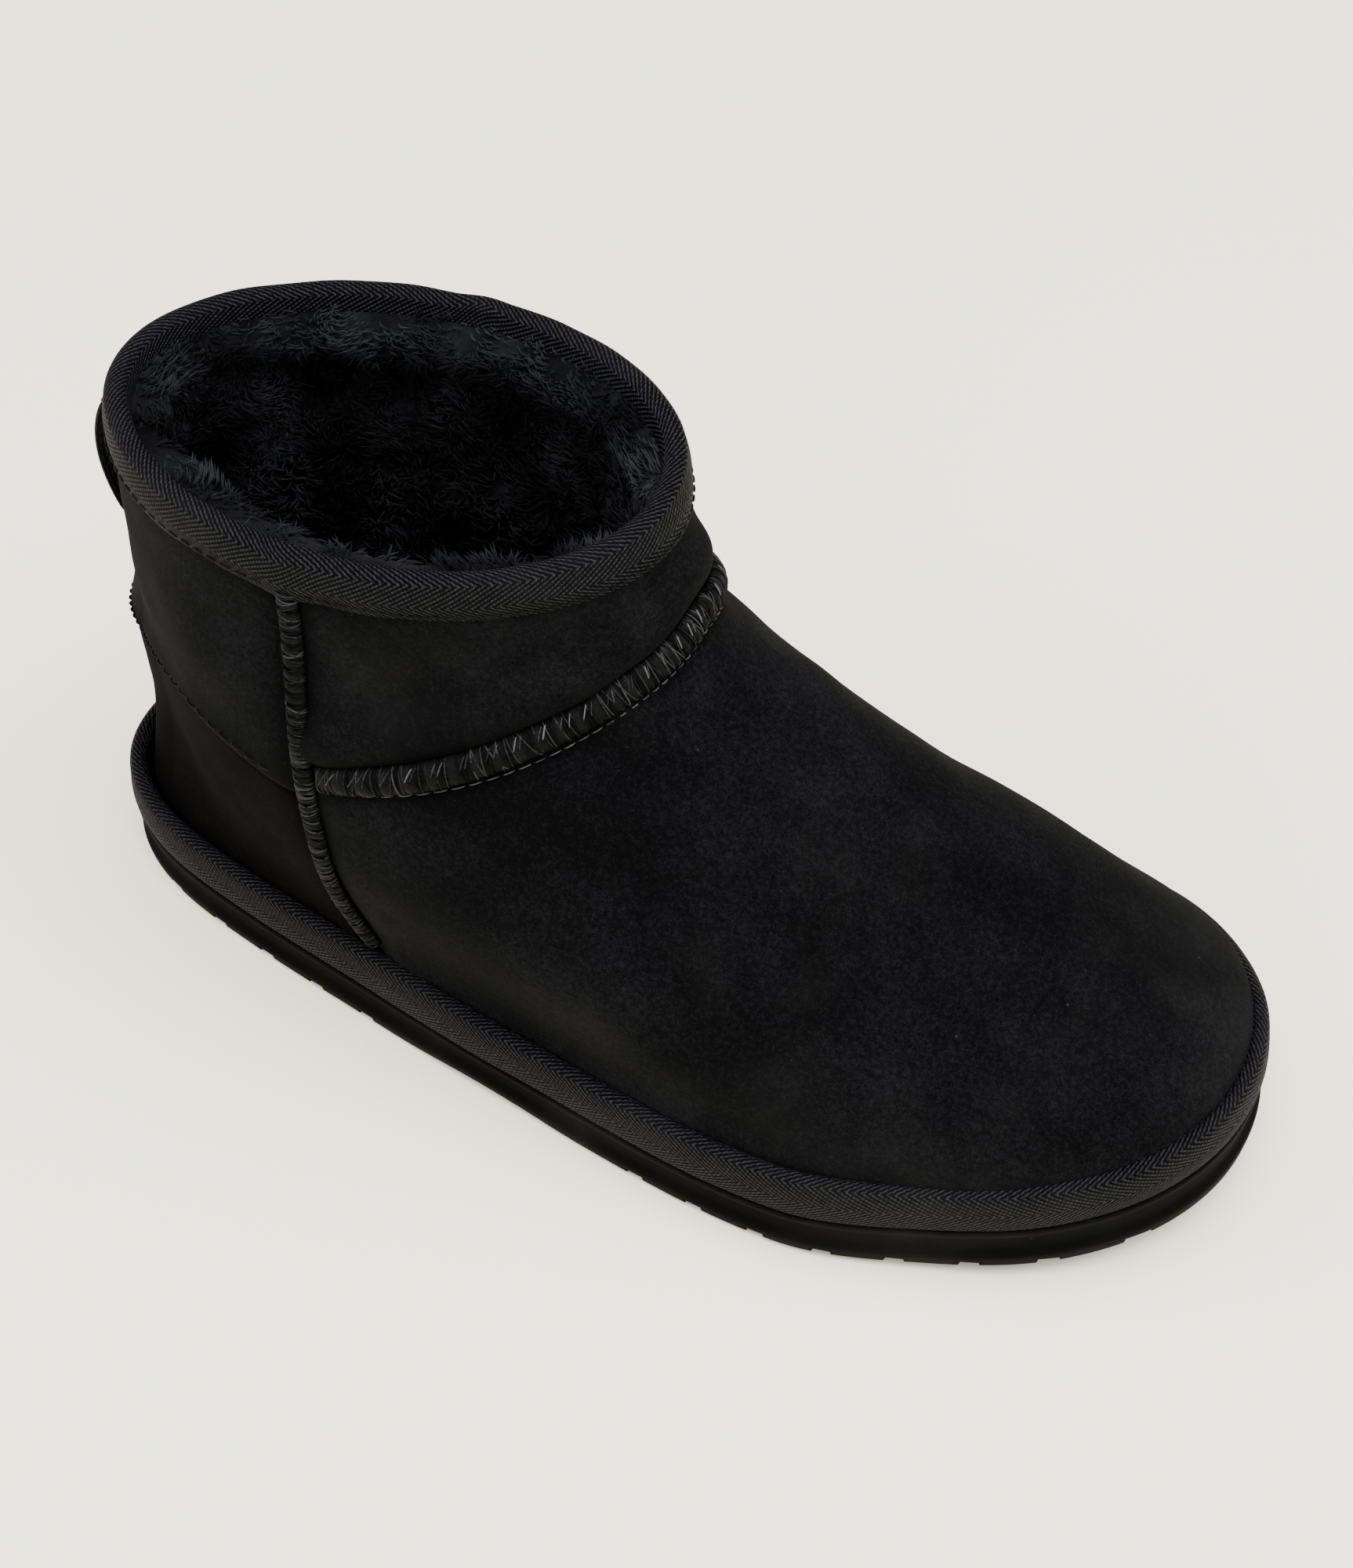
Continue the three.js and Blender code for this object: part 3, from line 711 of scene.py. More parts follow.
class Effects:
    """Node groups shared by the finishes: nap, weave and dust."""

    def __init__(self) -> None:
        """Build each group once."""
        self.nap = self._nap()
        self.weave = self._weave()
        self.dust = self._dust()

    @staticmethod
    def _group(name: str, inputs: dict[str, tuple[str, float]], outputs: list[str]) -> bpy.types.NodeTree:
        """Empty group with its sockets.

        Args:
            name: the group's name.
            inputs: for each input, its socket type and starting value.
            outputs: names of number outputs.
        Returns:
            The group.
        """
        group = bpy.data.node_groups.new(name, "ShaderNodeTree")
        for label, (kind, value) in inputs.items():
            socket = group.interface.new_socket(label, in_out="INPUT", socket_type=kind)
            if kind == "NodeSocketFloat":
                socket.default_value = value
        for label in outputs:
            group.interface.new_socket(label, in_out="OUTPUT", socket_type="NodeSocketFloat")
        return group

    def _nap(self) -> bpy.types.NodeTree:
        """Nap of fibres: blotches where it was brushed, and fine grain, as tone and height.

        Returns:
            The group.
        """
        group = self._group("fibre_nap", {"Place": ("NodeSocketVector", 0), "Grain": ("NodeSocketFloat", 1),
                                          "Blotch": ("NodeSocketFloat", 1)}, ["Tone", "Height"])
        t = Tree(group)
        enter = t.node("NodeGroupInput")
        leave = t.node("NodeGroupOutput")
        place = enter.outputs["Place"]
        brushed = t.node("ShaderNodeMapping", {"Vector": place, "Scale": (1.0, 1.6, 1.2)})
        broad = t.noise(brushed.outputs[0], 26.0, 3.0, 0.6)
        middle = t.noise(place, 95.0, 4.0, 0.65)
        fine = t.noise(place, 900.0, 3.0, 0.7)
        finest = t.noise(place, 2600.0, 2.0, 0.6)
        blotch = t.math("MULTIPLY", t.spread(broad, 0.32, 0.7), enter.outputs["Blotch"])
        cloudy = t.math("ADD", t.math("MULTIPLY", blotch, 0.42), t.math("MULTIPLY", middle, 0.3))
        grain = t.math("ADD", t.math("MULTIPLY", fine, 0.55), t.math("MULTIPLY", finest, 0.45))
        speck = t.math("MULTIPLY", t.math("SUBTRACT", grain, 0.5), 2.3)
        tone = t.math("ADD", cloudy, t.math("MULTIPLY", speck, enter.outputs["Grain"]))
        t.tree.links.new(tone, leave.inputs["Tone"])
        height = t.math("ADD", t.math("MULTIPLY", middle, 0.35), grain)
        t.tree.links.new(height, leave.inputs["Height"])
        return group

    def _weave(self) -> bpy.types.NodeTree:
        """Herringbone twill on the cloth's own map, in millimetres: ribs that turn at each band, with
        painted shade in the grooves between them.

        Returns:
            The group.
        """
        group = self._group("herringbone", {"Pitch": ("NodeSocketFloat", 1.75),
                                            "Band": ("NodeSocketFloat", 5.2),
                                            "Slant": ("NodeSocketFloat", 1.7),
                                            "Pick": ("NodeSocketFloat", 0.95)}, ["Height", "Tone"])
        t = Tree(group)
        enter = t.node("NodeGroupInput")
        leave = t.node("NodeGroupOutput")
        cloth = t.node("ShaderNodeUVMap", uv_map="cloth")
        split = t.node("ShaderNodeSeparateXYZ", {0: cloth.outputs[0]})
        along_tape, across = split.outputs[0], split.outputs[1]
        zigzag = t.math("PINGPONG", across, enter.outputs["Band"])
        slanted = t.math("ADD", along_tape, t.math("MULTIPLY", zigzag, enter.outputs["Slant"]))
        phase = t.math("MULTIPLY", t.math("DIVIDE", slanted, enter.outputs["Pitch"]), FULL_TURN)
        rib = t.math("ADD", t.math("MULTIPLY", t.math("SINE", phase), 0.5), 0.5)
        leaning = t.math("ADD", along_tape, t.math("MULTIPLY", across, 0.35))
        pick_phase = t.math("MULTIPLY", t.math("DIVIDE", leaning, enter.outputs["Pick"]), FULL_TURN)
        pick = t.math("ADD", t.math("MULTIPLY", t.math("SINE", pick_phase), 0.5), 0.5)
        bead = t.math("MULTIPLY", rib, t.math("ADD", t.math("MULTIPLY", pick, 0.55), 0.45))
        t.tree.links.new(bead, leave.inputs["Height"])
        uneven = t.noise(cloth.outputs[0], 0.8, 2.0, 0.6)
        # Painted shade: the tone follows the rib height, dark in the grooves and light on the ribs, and the
        # yarn varies it at random.
        painted_groove_shade = t.spread(bead, 0.1, 0.8)
        tone = t.math("MULTIPLY", painted_groove_shade, t.spread(uneven, 0.25, 0.8, 0.45, 1.25))
        t.tree.links.new(tone, leave.inputs["Tone"])
        return group

    def _dust(self) -> bpy.types.NodeTree:
        """Sparse pale lint and dust, as a mask.

        Returns:
            The group.
        """
        group = self._group("dust", {"Place": ("NodeSocketVector", 0), "Amount": ("NodeSocketFloat", 0.3)},
                            ["Mask"])
        t = Tree(group)
        enter = t.node("NodeGroupInput")
        leave = t.node("NodeGroupOutput")
        place = enter.outputs["Place"]
        grains = t.node("ShaderNodeTexVoronoi", {"Vector": place, "Scale": 210.0}, feature="F1")
        dots = t.spread(grains.outputs["Distance"], 0.0, 0.085, 1.0, 0.0)
        rare = t.spread(t.noise(place, 60.0, 2.0, 0.5), 0.58, 0.72)
        veil = t.math("MULTIPLY", t.spread(t.noise(place, 17.0, 4.0, 0.65), 0.45, 0.8), 0.18)
        lint = t.math("ADD", t.math("MULTIPLY", dots, rare), veil)
        t.tree.links.new(t.math("MULTIPLY", lint, enter.outputs["Amount"]), leave.inputs["Mask"])
        return group


class Wardrobe:
    """Makes each finish's material once and puts it on pieces."""

    def __init__(self) -> None:
        """Start with the shared effects and no materials."""
        self.effects = Effects()
        self.made: dict[str, bpy.types.Material] = {}

    def dress(self, piece: bpy.types.Object, finish: Finish) -> None:
        """Give a piece a finish."""
        piece.data.materials.clear()
        piece.data.materials.append(self.material(finish))

    def material(self, finish: Finish) -> bpy.types.Material:
        """The material of a finish.

        Args:
            finish: its colours and pattern.
        Returns:
            The material, made on the first call.
        """
        if finish.name in self.made:
            return self.made[finish.name]
        material = bpy.data.materials.new(finish.name)
        material.use_nodes = True
        t = Tree(material.node_tree)
        shader = material.node_tree.nodes["Principled BSDF"]
        shader.inputs["Metallic"].default_value = 0.0
        shader.inputs["Specular IOR Level"].default_value = finish.specular
        shader.inputs["Sheen Weight"].default_value = finish.sheen
        shader.inputs["Sheen Roughness"].default_value = finish.sheen_roughness
        place = t.node("ShaderNodeTexCoord").outputs["Object"]
        tone, height, depth = self._pattern(t, finish, place)
        colour = t.mix(t.spread(tone, 0.0, 1.0), (*finish.dark, 1), (*finish.light, 1))
        if finish.dust:
            dust = t.node("ShaderNodeGroup", node_tree=self.effects.dust)
            t.tree.links.new(place, dust.inputs["Place"])
            dust.inputs["Amount"].default_value = finish.dust
            colour = t.mix(dust.outputs["Mask"], colour, LINT)
        t.tree.links.new(colour, shader.inputs["Base Color"])
        rough = t.spread(tone, 0.0, 1.0, min(1.0, finish.roughness + 0.06), finish.roughness - 0.08)
        t.tree.links.new(rough, shader.inputs["Roughness"])
        bump = t.node("ShaderNodeBump", {"Height": height, "Strength": finish.bump, "Distance": depth})
        t.tree.links.new(bump.outputs[0], shader.inputs["Normal"])
        self.made[finish.name] = material
        return material

    def _pattern(self, t: Tree, finish: Finish,
                 place: bpy.types.NodeSocket) -> tuple[bpy.types.NodeSocket, bpy.types.NodeSocket, float]:
        """Tone, height and bump depth of a finish's pattern.

        Args:
            t: the material's tree.
            finish: the finish.
            place: object coordinates.
        Returns:
            A tone from 0 to 1, a height from 0 to 1, and the height's depth in metres.
        """
        # The tone attribute holds random tone and, on some pieces, painted light and shade.
        tone_field = t.node("ShaderNodeAttribute", attribute_name="tone").outputs["Fac"]
        if finish.pattern in (Pattern.TWILL, Pattern.RIBBON):
            weave = t.node("ShaderNodeGroup", node_tree=self.effects.weave)
            if finish.pattern is Pattern.RIBBON:
                weave.inputs["Slant"].default_value = 0.0
                weave.inputs["Pitch"].default_value = 0.9
            return weave.outputs["Tone"], weave.outputs["Height"], 0.0004
        nap = t.node("ShaderNodeGroup", node_tree=self.effects.nap)
        t.tree.links.new(place, nap.inputs["Place"])
        centred = t.math("SUBTRACT", tone_field, 0.5)
        if finish.pattern is Pattern.NAP:
            nap.inputs["Blotch"].default_value = 0.42
            nap.inputs["Grain"].default_value = 0.85
            tone = t.math("ADD", nap.outputs["Tone"], t.math("MULTIPLY", centred, 0.8))
            return tone, nap.outputs["Height"], 0.00035
        if finish.pattern is Pattern.WOOL:
            nap.inputs["Blotch"].default_value = 0.6
            nap.inputs["Grain"].default_value = 0.5
            tone = t.math("ADD", t.math("MULTIPLY", nap.outputs["Tone"], 0.45),
                          t.math("MULTIPLY", t.math("SUBTRACT", tone_field, 0.12), 0.85))
            return tone, nap.outputs["Height"], 0.0006
        if finish.pattern is Pattern.THREAD:
            nap.inputs["Blotch"].default_value = 0.3
            tone = t.math("ADD", t.math("MULTIPLY", nap.outputs["Tone"], 0.5),
                          t.math("MULTIPLY", t.math("SUBTRACT", tone_field, 0.1), 0.7))
            return tone, nap.outputs["Height"], 0.00015
        pores = t.noise(place, 1400.0, 2.0, 0.6)
        cloud = t.noise(place, 60.0, 4.0, 0.6)
        tone = t.math("ADD", t.math("MULTIPLY", cloud, 0.5), t.math("MULTIPLY", centred, 0.9))
        return tone, t.math("ADD", pores, t.math("MULTIPLY", cloud, 0.6)), 0.00025


# ---- Upper ----

@dataclass(frozen=True)
class Crease:
    """Soft fold on the leather between two places, given as level and turn in degrees."""

    start: tuple[float, float]
    end: tuple[float, float]
    depth: float
    width: float


@dataclass
class PanelEdges:
    """How a panel's four edges lie: tucked under a seam, puffed beside it, or lapped over."""

    low_tuck: float = 0.9
    high_tuck: float = 0.9
    side_tuck: float = 0.9
    low_puff: float = 0.8
    high_puff: float = 0.4
    side_puff: float = 0.5
    lap: float = 0.0
    groove: float = 0.0


@dataclass(frozen=True)
class Swell:
    """Soft fullness of the leather round a place, given as level and turn in degrees."""

    place: tuple[float, float]
    height: float
    width: float


@dataclass
class Upper:
    """The sheepskin panels, each a thin closed sheet on the last."""

    last: Last
    seams: SeamLines
    wardrobe: Wardrobe
    skin_thickness: float = 1.6
    grid: float = 1.1
    tuck_width: float = 3.2
    puff_at: float = 8.5
    puff_width: float = 6.5
    lump_height: float = 0.45
    lump_size: float = 30.0
    pucker_pitch: float = 9.5
    pucker_height: float = 0.28
    pucker_reach: float = 7.0
    pucker_below: float = 0.2
    lap_reach: float = 9.0
    # Reach and depth of the painted shade along each panel's edges.
    painted_shade_reach: float = 4.4
    painted_shade_depth: float = 0.42
    groove_below: float = 4.6
    groove_width: float = 1.3
    swells: tuple[Swell, ...] = (
        Swell((0.27, 224), 2.4, 24.0),
        Swell((0.22, 203), 1.5, 20.0),
        Swell((0.45, 214), 0.8, 22.0),
        Swell((0.66, 118), 0.7, 16.0),
        Swell((0.70, 28), 0.6, 18.0),
    )
    creases: tuple[Crease, ...] = (
        Crease((0.74, 128), (0.62, 150), 0.9, 5.5),
        Crease((0.70, 205), (0.60, 232), 0.8, 6.0),
        Crease((0.52, 120), (0.40, 150), 0.55, 8.0),
        Crease((0.50, 208), (0.36, 238), 0.5, 8.0),
        Crease((0.34, 112), (0.18, 124), 0.5, 7.0),
        Crease((0.30, 168), (0.22, 198), 0.4, 8.0),
        Crease((0.86, 112), (0.70, 104), 0.6, 6.0),
        Crease((0.90, 146), (0.80, 152), 0.6, 5.0),
        Crease((0.88, 214), (0.78, 208), 0.6, 5.0),
        Crease((0.86, 44), (0.70, 50), 0.4, 7.0),
        Crease((0.60, -34), (0.74, -44), 0.4, 7.0),
        Crease((0.20, 40), (0.34, 34), 0.3, 6.0),
    )

    def build(self) -> None:
        """Make the four panels."""
        full = FULL_TURN
        side = self.seams.side_turn

        def front(s: Array, level: Array) -> Array:
            """Turns over the front, from the outer seam to the inner one."""
            return side(level) + (full - 2 * side(level)) * s

        def rear(s: Array, level: Array) -> Array:
            """Turns over the back, from the inner seam to the outer one."""
            return side(level) * (2 * s - 1)

        foot = 0.03
        rim = 0.985
        over = 0.012
        self._panel("vamp", front, lambda turn: np.full_like(turn, foot), self.seams.instep_level,
                    (205, 150), PanelEdges(low_puff=1.5, high_puff=0.5), SUEDE, ("upper",))
        self._panel("front_shaft", front, self.seams.instep_level, lambda turn: np.full_like(turn, rim),
                    (130, 52), PanelEdges(low_tuck=2.9, low_puff=2.9, high_tuck=0.6, high_puff=0.5), SUEDE)
        self._panel("rear_shaft", rear, lambda turn: self.seams.counter_level(turn) - over,
                    lambda turn: np.full_like(turn, rim), (165, 68),
                    PanelEdges(low_tuck=0.0, low_puff=0.0, high_tuck=0.6, lap=1.0), SUEDE)
        self._panel("heel_counter", rear, lambda turn: np.full_like(turn, foot),
                    lambda turn: self.seams.counter_level(turn) + 2 * over, (165, 56),
                    PanelEdges(low_puff=0.7, high_tuck=0.3, high_puff=0.0, groove=0.9), COUNTER_SUEDE)

    def _panel(self, name: str, turns: Callable, low: Callable, high: Callable, size: tuple[int, int],
               edges: PanelEdges, finish: Finish, stands_for: tuple[str, ...] = ()) -> None:
        """One panel: a grid between its four seams, shaped, given a thickness and dressed.

        Args:
            name: the piece's name.
            turns: turn for a share across and a level.
            low: level of the lower edge at a turn.
            high: level of the upper edge at a turn.
            size: usual width and height, in millimetres.
            edges: how its edges lie.
            finish: its finish.
            stands_for: CAD nodes that it replaces.
        """
        columns, rows = int(size[0] / self.grid), int(size[1] / self.grid)
        s = np.linspace(0, 1, columns)[None, :]
        t = np.linspace(0, 1, rows)[:, None]
        level = np.full((rows, columns), 0.7)
        turn = turns(s, level)
        for _ in range(6):
            level = low(turn) + (high(turn) - low(turn)) * t
            turn = turns(s, level)
        base = self.last.skin(level, turn)
        out, tone = self._relief(base, level, edges)
        normal = self.last.normal(level, turn)
        outer = base + normal * out[..., None]
        inner = base + normal * (np.minimum(out, 0.4) - self.skin_thickness)[..., None]
        maker = MeshMaker(name)
        uv = np.stack([run_lengths(base, 1), run_lengths(base, 0)], -1)
        self._closed_sheet(maker, outer, inner, uv, tone)
        piece = maker.build("suede", stands_for)
        self.wardrobe.dress(piece, finish)

    @staticmethod
    def _closed_sheet(maker: MeshMaker, outer: Array, inner: Array, uv: Array, tone: Array) -> None:
        """Outer grid, inner grid and four strips between them, as one closed body.

        Args:
            maker: takes the faces.
            outer: grid of the outside.
            inner: grid of the inside.
            uv: map of the outside.
            tone: shade of the outside.
        """
        rows, columns = outer.shape[:2]
        number = np.arange(rows * columns).reshape(rows, columns)
        under = number + rows * columns
        edge = np.concatenate([number[0, :-1], number[:-1, -1], number[-1, :0:-1], number[:0:-1, 0]])
        edge_under = np.concatenate([under[0, :-1], under[:-1, -1], under[-1, :0:-1], under[:0:-1, 0]])
        quads = np.stack([number[:-1, :-1], number[:-1, 1:], number[1:, 1:], number[1:, :-1]], -1)
        back = quads[..., ::-1] + rows * columns
        rim = np.stack([np.roll(edge, -1), edge, edge_under, np.roll(edge_under, -1)], -1)
        faces = np.concatenate([quads.reshape(-1, 4), back.reshape(-1, 4), rim])
        flat_uv = np.concatenate([uv.reshape(-1, 2)] * 2)
        maker.add(np.concatenate([outer.reshape(-1, 3), inner.reshape(-1, 3)]), faces, flat_uv[faces],
                  np.concatenate([tone.reshape(-1)] * 2))

    def _relief(self, base: Array, level: Array, edges: PanelEdges) -> tuple[Array, Array]:
        """Height of the leather over the last, and its tone: lighter where lumps rise, with painted shade in
        crease troughs and along the seams and a painted highlight on crease ridges.

        Args:
            base: the last's points.
            level: their levels.
            edges: how the panel's edges lie.
        Returns:
            Heights in millimetres and tones about 0.5.
        """
        across, up = run_lengths(base, 1), run_lengths(base, 0)
        left, right = across, across[:, -1:] - across
        bottom, top = up, up[-1:] - up
        out = np.zeros(base.shape[:2])
        for distance, tuck, puff in ((left, edges.side_tuck, edges.side_puff),
                                     (right, edges.side_tuck, edges.side_puff),
                                     (bottom, edges.low_tuck, edges.low_puff),
                                     (top, edges.high_tuck, edges.high_puff)):
            out += puff * bell(distance - self.puff_at, self.puff_width)
            out -= tuck * bell(distance, self.tuck_width)
        out += edges.lap * bell(bottom, self.lap_reach)
        out -= edges.groove * bell(top - self.groove_below, self.groove_width)
        lumps = waves(base, self.lump_size, 4) * self.lump_height
        small = waves(base, self.lump_size / 3, 9) * self.lump_height * 0.25
        calm = smooth_step(np.minimum.reduce([left, right, top]) / 10)
        out += (lumps + small) * calm
        near_rand = bell(bottom, self.pucker_reach) * (level < self.pucker_below)
        drift = waves(base, 26.0, 12)
        out += near_rand * self.pucker_height * np.sin(across / self.pucker_pitch * FULL_TURN + 2.2 * drift)
        for swell in self.swells:
            level_at, turn_at = swell.place
            middle = self.last.skin(np.array(level_at), np.array(math.radians(turn_at)))
            out += swell.height * bell(np.linalg.norm(base - middle, axis=-1), swell.width) * calm
        fold = np.zeros_like(out)
        for crease in self.creases:
            fold += self._fold(base, crease)
        out += fold
        # Tone that follows the relief: lighter where the lumps rise, painted shade in the crease troughs and
        # a painted highlight on their ridges.
        tone = 0.5 + 0.06 * lumps / self.lump_height + 0.05 * np.clip(fold, -1, 0.4)
        # Painted shade: the tone darkens within a few millimetres of each edge, where the seams and the rand
        # cast shade on the leather.
        seam_painted_shade = sum(bell(distance, self.painted_shade_reach) for distance in (left, right, top, bottom))
        return out, np.clip(tone - self.painted_shade_depth * seam_painted_shade, 0, 1)

    def _fold(self, base: Array, crease: Crease) -> Array:
        """Trough along a crease with a low ridge on each side, fading towards its ends.

        Args:
            base: points of the panel.
            crease: the fold.
        Returns:
            Heights in millimetres.
        """
        (level_a, turn_a), (level_b, turn_b) = crease.start, crease.end
        a = self.last.skin(np.array(level_a), np.array(math.radians(turn_a)))
        b = self.last.skin(np.array(level_b), np.array(math.radians(turn_b)))
        way = b - a
        share = np.clip(((base - a) @ way) / (way @ way), 0, 1)
        distance = np.linalg.norm(base - a - share[..., None] * way, axis=-1)
        fade = 0.25 + 0.75 * np.sin(math.pi * share)
        trough = -bell(distance, crease.width)
        ridge = 0.45 * bell(distance - 1.9 * crease.width, crease.width)
        return crease.depth * fade * (trough + ridge)


# ---- Tapes ----

def tape_map(points: Array, row: int) -> Array:
    """Map of a tape carried round the boot, in millimetres along and across it.

    Args:
        points: section points by turns of points, which wrap both ways.
        row: section point at which the length round the boot is measured.
    Returns:
        A pair for each point, with the first row and column once more at the end.
    """
    closed = np.pad(points, ((0, 1), (0, 1), (0, 0)), mode="wrap")
    round_boot = np.broadcast_to(run_lengths(closed, 1)[row], closed.shape[:2])
    return np.stack([round_boot, run_lengths(closed, 0)], -1)


@dataclass
class CollarBinding:
    """Twill tape folded over the collar's rim."""

    last: Last
    seams: SeamLines
    wardrobe: Wardrobe
    outside: float = 7.8
    inside: float = 6.0
    proud: float = 1.25
    rim_width: float = 5.2
    plump: float = 0.5
    crest: float = 2.1
    step: float = 0.8
    seam_bump: float = 1.0
    seam_level: float = 0.93
    seam_reach: float = 3.6
    rim_radius: float = 42.0
    stitches: int = 104
    stitch_up: float = 1.3
    stitch_cover: float = 0.72

    def profile(self) -> tuple[Array, Array]:
        """Tape's section as distances out from the rim's outer face and down from the rim.

        Returns:
            The outside run from outer edge to inner edge, and the hidden run back.
        """
        half = self.rim_width / 2
        inner_face = self.proud - self.rim_width
        arc = np.linspace(0, math.pi, 19)
        crest = np.stack([self.proud + half * (np.cos(arc) - 1), -self.crest * np.sin(arc)], -1)
        down = np.linspace(1, 0, 11)
        swell = self.plump * np.sin(math.pi * down)
        outer = np.stack([self.proud + swell, self.outside * down], -1)[:-1]
        inner = np.stack([inner_face - swell, self.inside * down], -1)[::-1][1:]
        shown = np.concatenate([[[0.2, self.outside - 0.1], [0.7, self.outside + 0.3]], outer, crest, inner,
                                [[inner_face + 0.6, self.inside + 0.25]]])
        hidden = np.array([[inner_face + 1.1, self.inside - 0.2], [inner_face + 1.1, 0.4],
                           [-0.4, 0.4], [0.0, 1.2]])
        return shown, hidden

    def place(self, section: Array, turn: Array) -> Array:
        """Carry section points round the rim.

        Args:
            section: distance out and drop for each point.
            turn: turns round the rim.
        Returns:
            Section points by turns of points.
        """
        out, drop = section[:, :1], section[:, 1:]
        level = self.last.level_at_drop(turn[None, :], np.maximum(drop, 0))
        base = self.last.skin(level, turn[None, :])
        normal = self.last.normal(np.full_like(level, 0.985), np.broadcast_to(turn, level.shape))
        normal[..., 2] = 0
        normal = unit(normal)
        points = base + normal * out[..., None]
        points[..., 2] += np.maximum(-drop, 0)
        return points

    def build(self) -> None:
        """Make the binding and its row of stitches."""
        shown, hidden = self.profile()
        section = np.concatenate([shown, hidden])
        count = int(round(360 / self.step))
        turn = np.arange(count) / count * FULL_TURN
        points = self.place(section, turn)
        side = float(self.seams.side_turn(np.array(self.seam_level)))
        for seam in (side, FULL_TURN - side):
            near = bell((turn - seam) * self.rim_radius, self.seam_reach)[None, :, None]
            outward = np.where(section[:, 0] > 0, self.seam_bump, 0)[:, None, None]
            lift = np.where(section[:, 1] <= 0, self.seam_bump * 0.5, 0)[:, None, None]
            normal = unit(points[2:3] - points[-1:])
            points = points + near * (outward * normal + lift * np.array([0, 0, 1.0]))
        ripple = waves(points, 9.0, 21)[..., None] * 0.12
        points[:len(shown)] += ripple[:len(shown)] * np.array([0.6, 0.6, 1.0])
        maker = MeshMaker("collar_tape")
        maker.add_grid(points, tape_map(points, 2), wrap_rows=True, wrap_columns=True)
        self.wardrobe.dress(maker.build("twill_tape", ("collar_binding",)), TWILL)
        self._stitches()

    def _stitches(self) -> None:
        """Row of stitches just above the tape's outer edge."""
        maker = MeshMaker("collar_stitches")
        count = self.stitches
        start = np.arange(count) / count * FULL_TURN
        share = np.linspace(0, self.stitch_cover, 5)
        turn = (start[:, None] + share[None, :] * FULL_TURN / count).reshape(-1)
        points = self.place(np.array([[self.proud + 0.35, self.outside - self.stitch_up]]), turn)
        paths = points.reshape(count, len(share), 3)
        radii = np.array([0.16, 0.3, 0.32, 0.3, 0.16])[None, :]
        rng = np.random.default_rng(31)
        add_rounds(maker, paths, radii, rng.uniform(0.35, 0.9, count))
        self.wardrobe.dress(maker.build("thread"), DARK_THREAD)


@dataclass
class Rand:
    """Foam strip wrapped in twill tape, round the foot between sole and upper."""

    last: Last
    wardrobe: Wardrobe
    gap: float = 0.3
    columns: int = 760
    wobble: float = 0.16
    stitches: int = 196

    def section(self) -> Array:
        """Rand's section as inset from the sole's outline and height over the sole.

        Returns:
            Points from the inner top edge over the outside to the hidden inside.
        """
        tall, thick = self.last.rand_height, self.last.rand_thickness
        shown = np.array([
            [thick - 0.5, tall - 2.0], [thick - 0.75, tall - 0.9], [thick - 1.5, tall - 0.1],
            [thick - 2.4, tall + 0.15], [thick - 3.4, tall - 0.1], [thick - 4.3, tall - 1.0],
            [0.15, tall - 2.4], [-0.2, tall - 4.4], [-0.4, tall - 6.6], [-0.4, 4.0], [-0.2, 2.2],
            [0.15, 0.95], [0.7, self.gap],
        ])
        keys = np.arange(len(shown), dtype=float)
        fine = along(keys, shown, np.linspace(0, len(shown) - 1, 34))
        hidden = np.array([[thick - 0.4, self.gap], [thick - 0.4, tall * 0.45]])
        return np.concatenate([fine, hidden])

    def place(self, section: Array, turn: Array) -> Array:
        """Carry section points round the sole's outline.

        Args:
            section: inset and height for each point.
            turn: turns round the foot.
        Returns:
            Section points by turns of points.
        """
        inset = np.broadcast_to(section[:, :1], (len(section), len(turn)))
        plan = self.last.sole_outline(np.broadcast_to(turn, inset.shape), inset)
        z = self.last.sole_height + section[:, 1:] + self.last.spring(plan[..., 0])
        return np.concatenate([plan, z[..., None]], -1)

    def build(self) -> None:
        """Make the rand and the stitches along its top."""
        section = self.section()
        points = self.place(section, even_turns(self.last, self.columns))
        outward = points - points.mean(0, keepdims=True)
        soft = waves(points, 12.0, 5) * self.wobble + waves(points, 34.0, 6) * self.wobble
        outer = np.linspace(0, 1, len(section))[:, None]
        points = points + unit(outward) * (soft * np.sin(math.pi * outer))[..., None]
        maker = MeshMaker("rand_tape")
        maker.add_grid(points, tape_map(points, 16), wrap_rows=True, wrap_columns=True, turned=True)
        self.wardrobe.dress(maker.build("twill_tape", ("rand",)), TWILL)
        self._stitches()

    def _stitches(self) -> None:
        """Row of stitches that sews the tape's top edge to the upper."""
        maker = MeshMaker("rand_stitches")
        count = self.stitches
        turn = even_turns(self.last, count * 5)
        thick, tall = self.last.rand_thickness, self.last.rand_height
        row = self.place(np.array([[thick - 1.7, tall + 0.1]]), turn)[0].reshape(count, 5, 3)
        paths = row[:, :4]
        paths[:, 1:3, 2] += 0.16
        rng = np.random.default_rng(32)
        add_rounds(maker, paths, np.array([[0.14, 0.3, 0.3, 0.14]]), rng.uniform(0.2, 0.7, count))
        self.wardrobe.dress(maker.build("thread"), DARK_THREAD)


def even_turns(last: Last, count: int) -> Array:
    """Turns that lie evenly along the sole's outline.

    Args:
        last: the boot's shape.
        count: how many.
    Returns:
        The turns, without the last one that would close the round.
    """
    fine = np.linspace(0, FULL_TURN, 4001)
    walked = run_lengths(last.sole_edge(fine), 0)
    return np.interp(np.arange(count) / count * walked[-1], walked, fine)


# ---- Seams ----

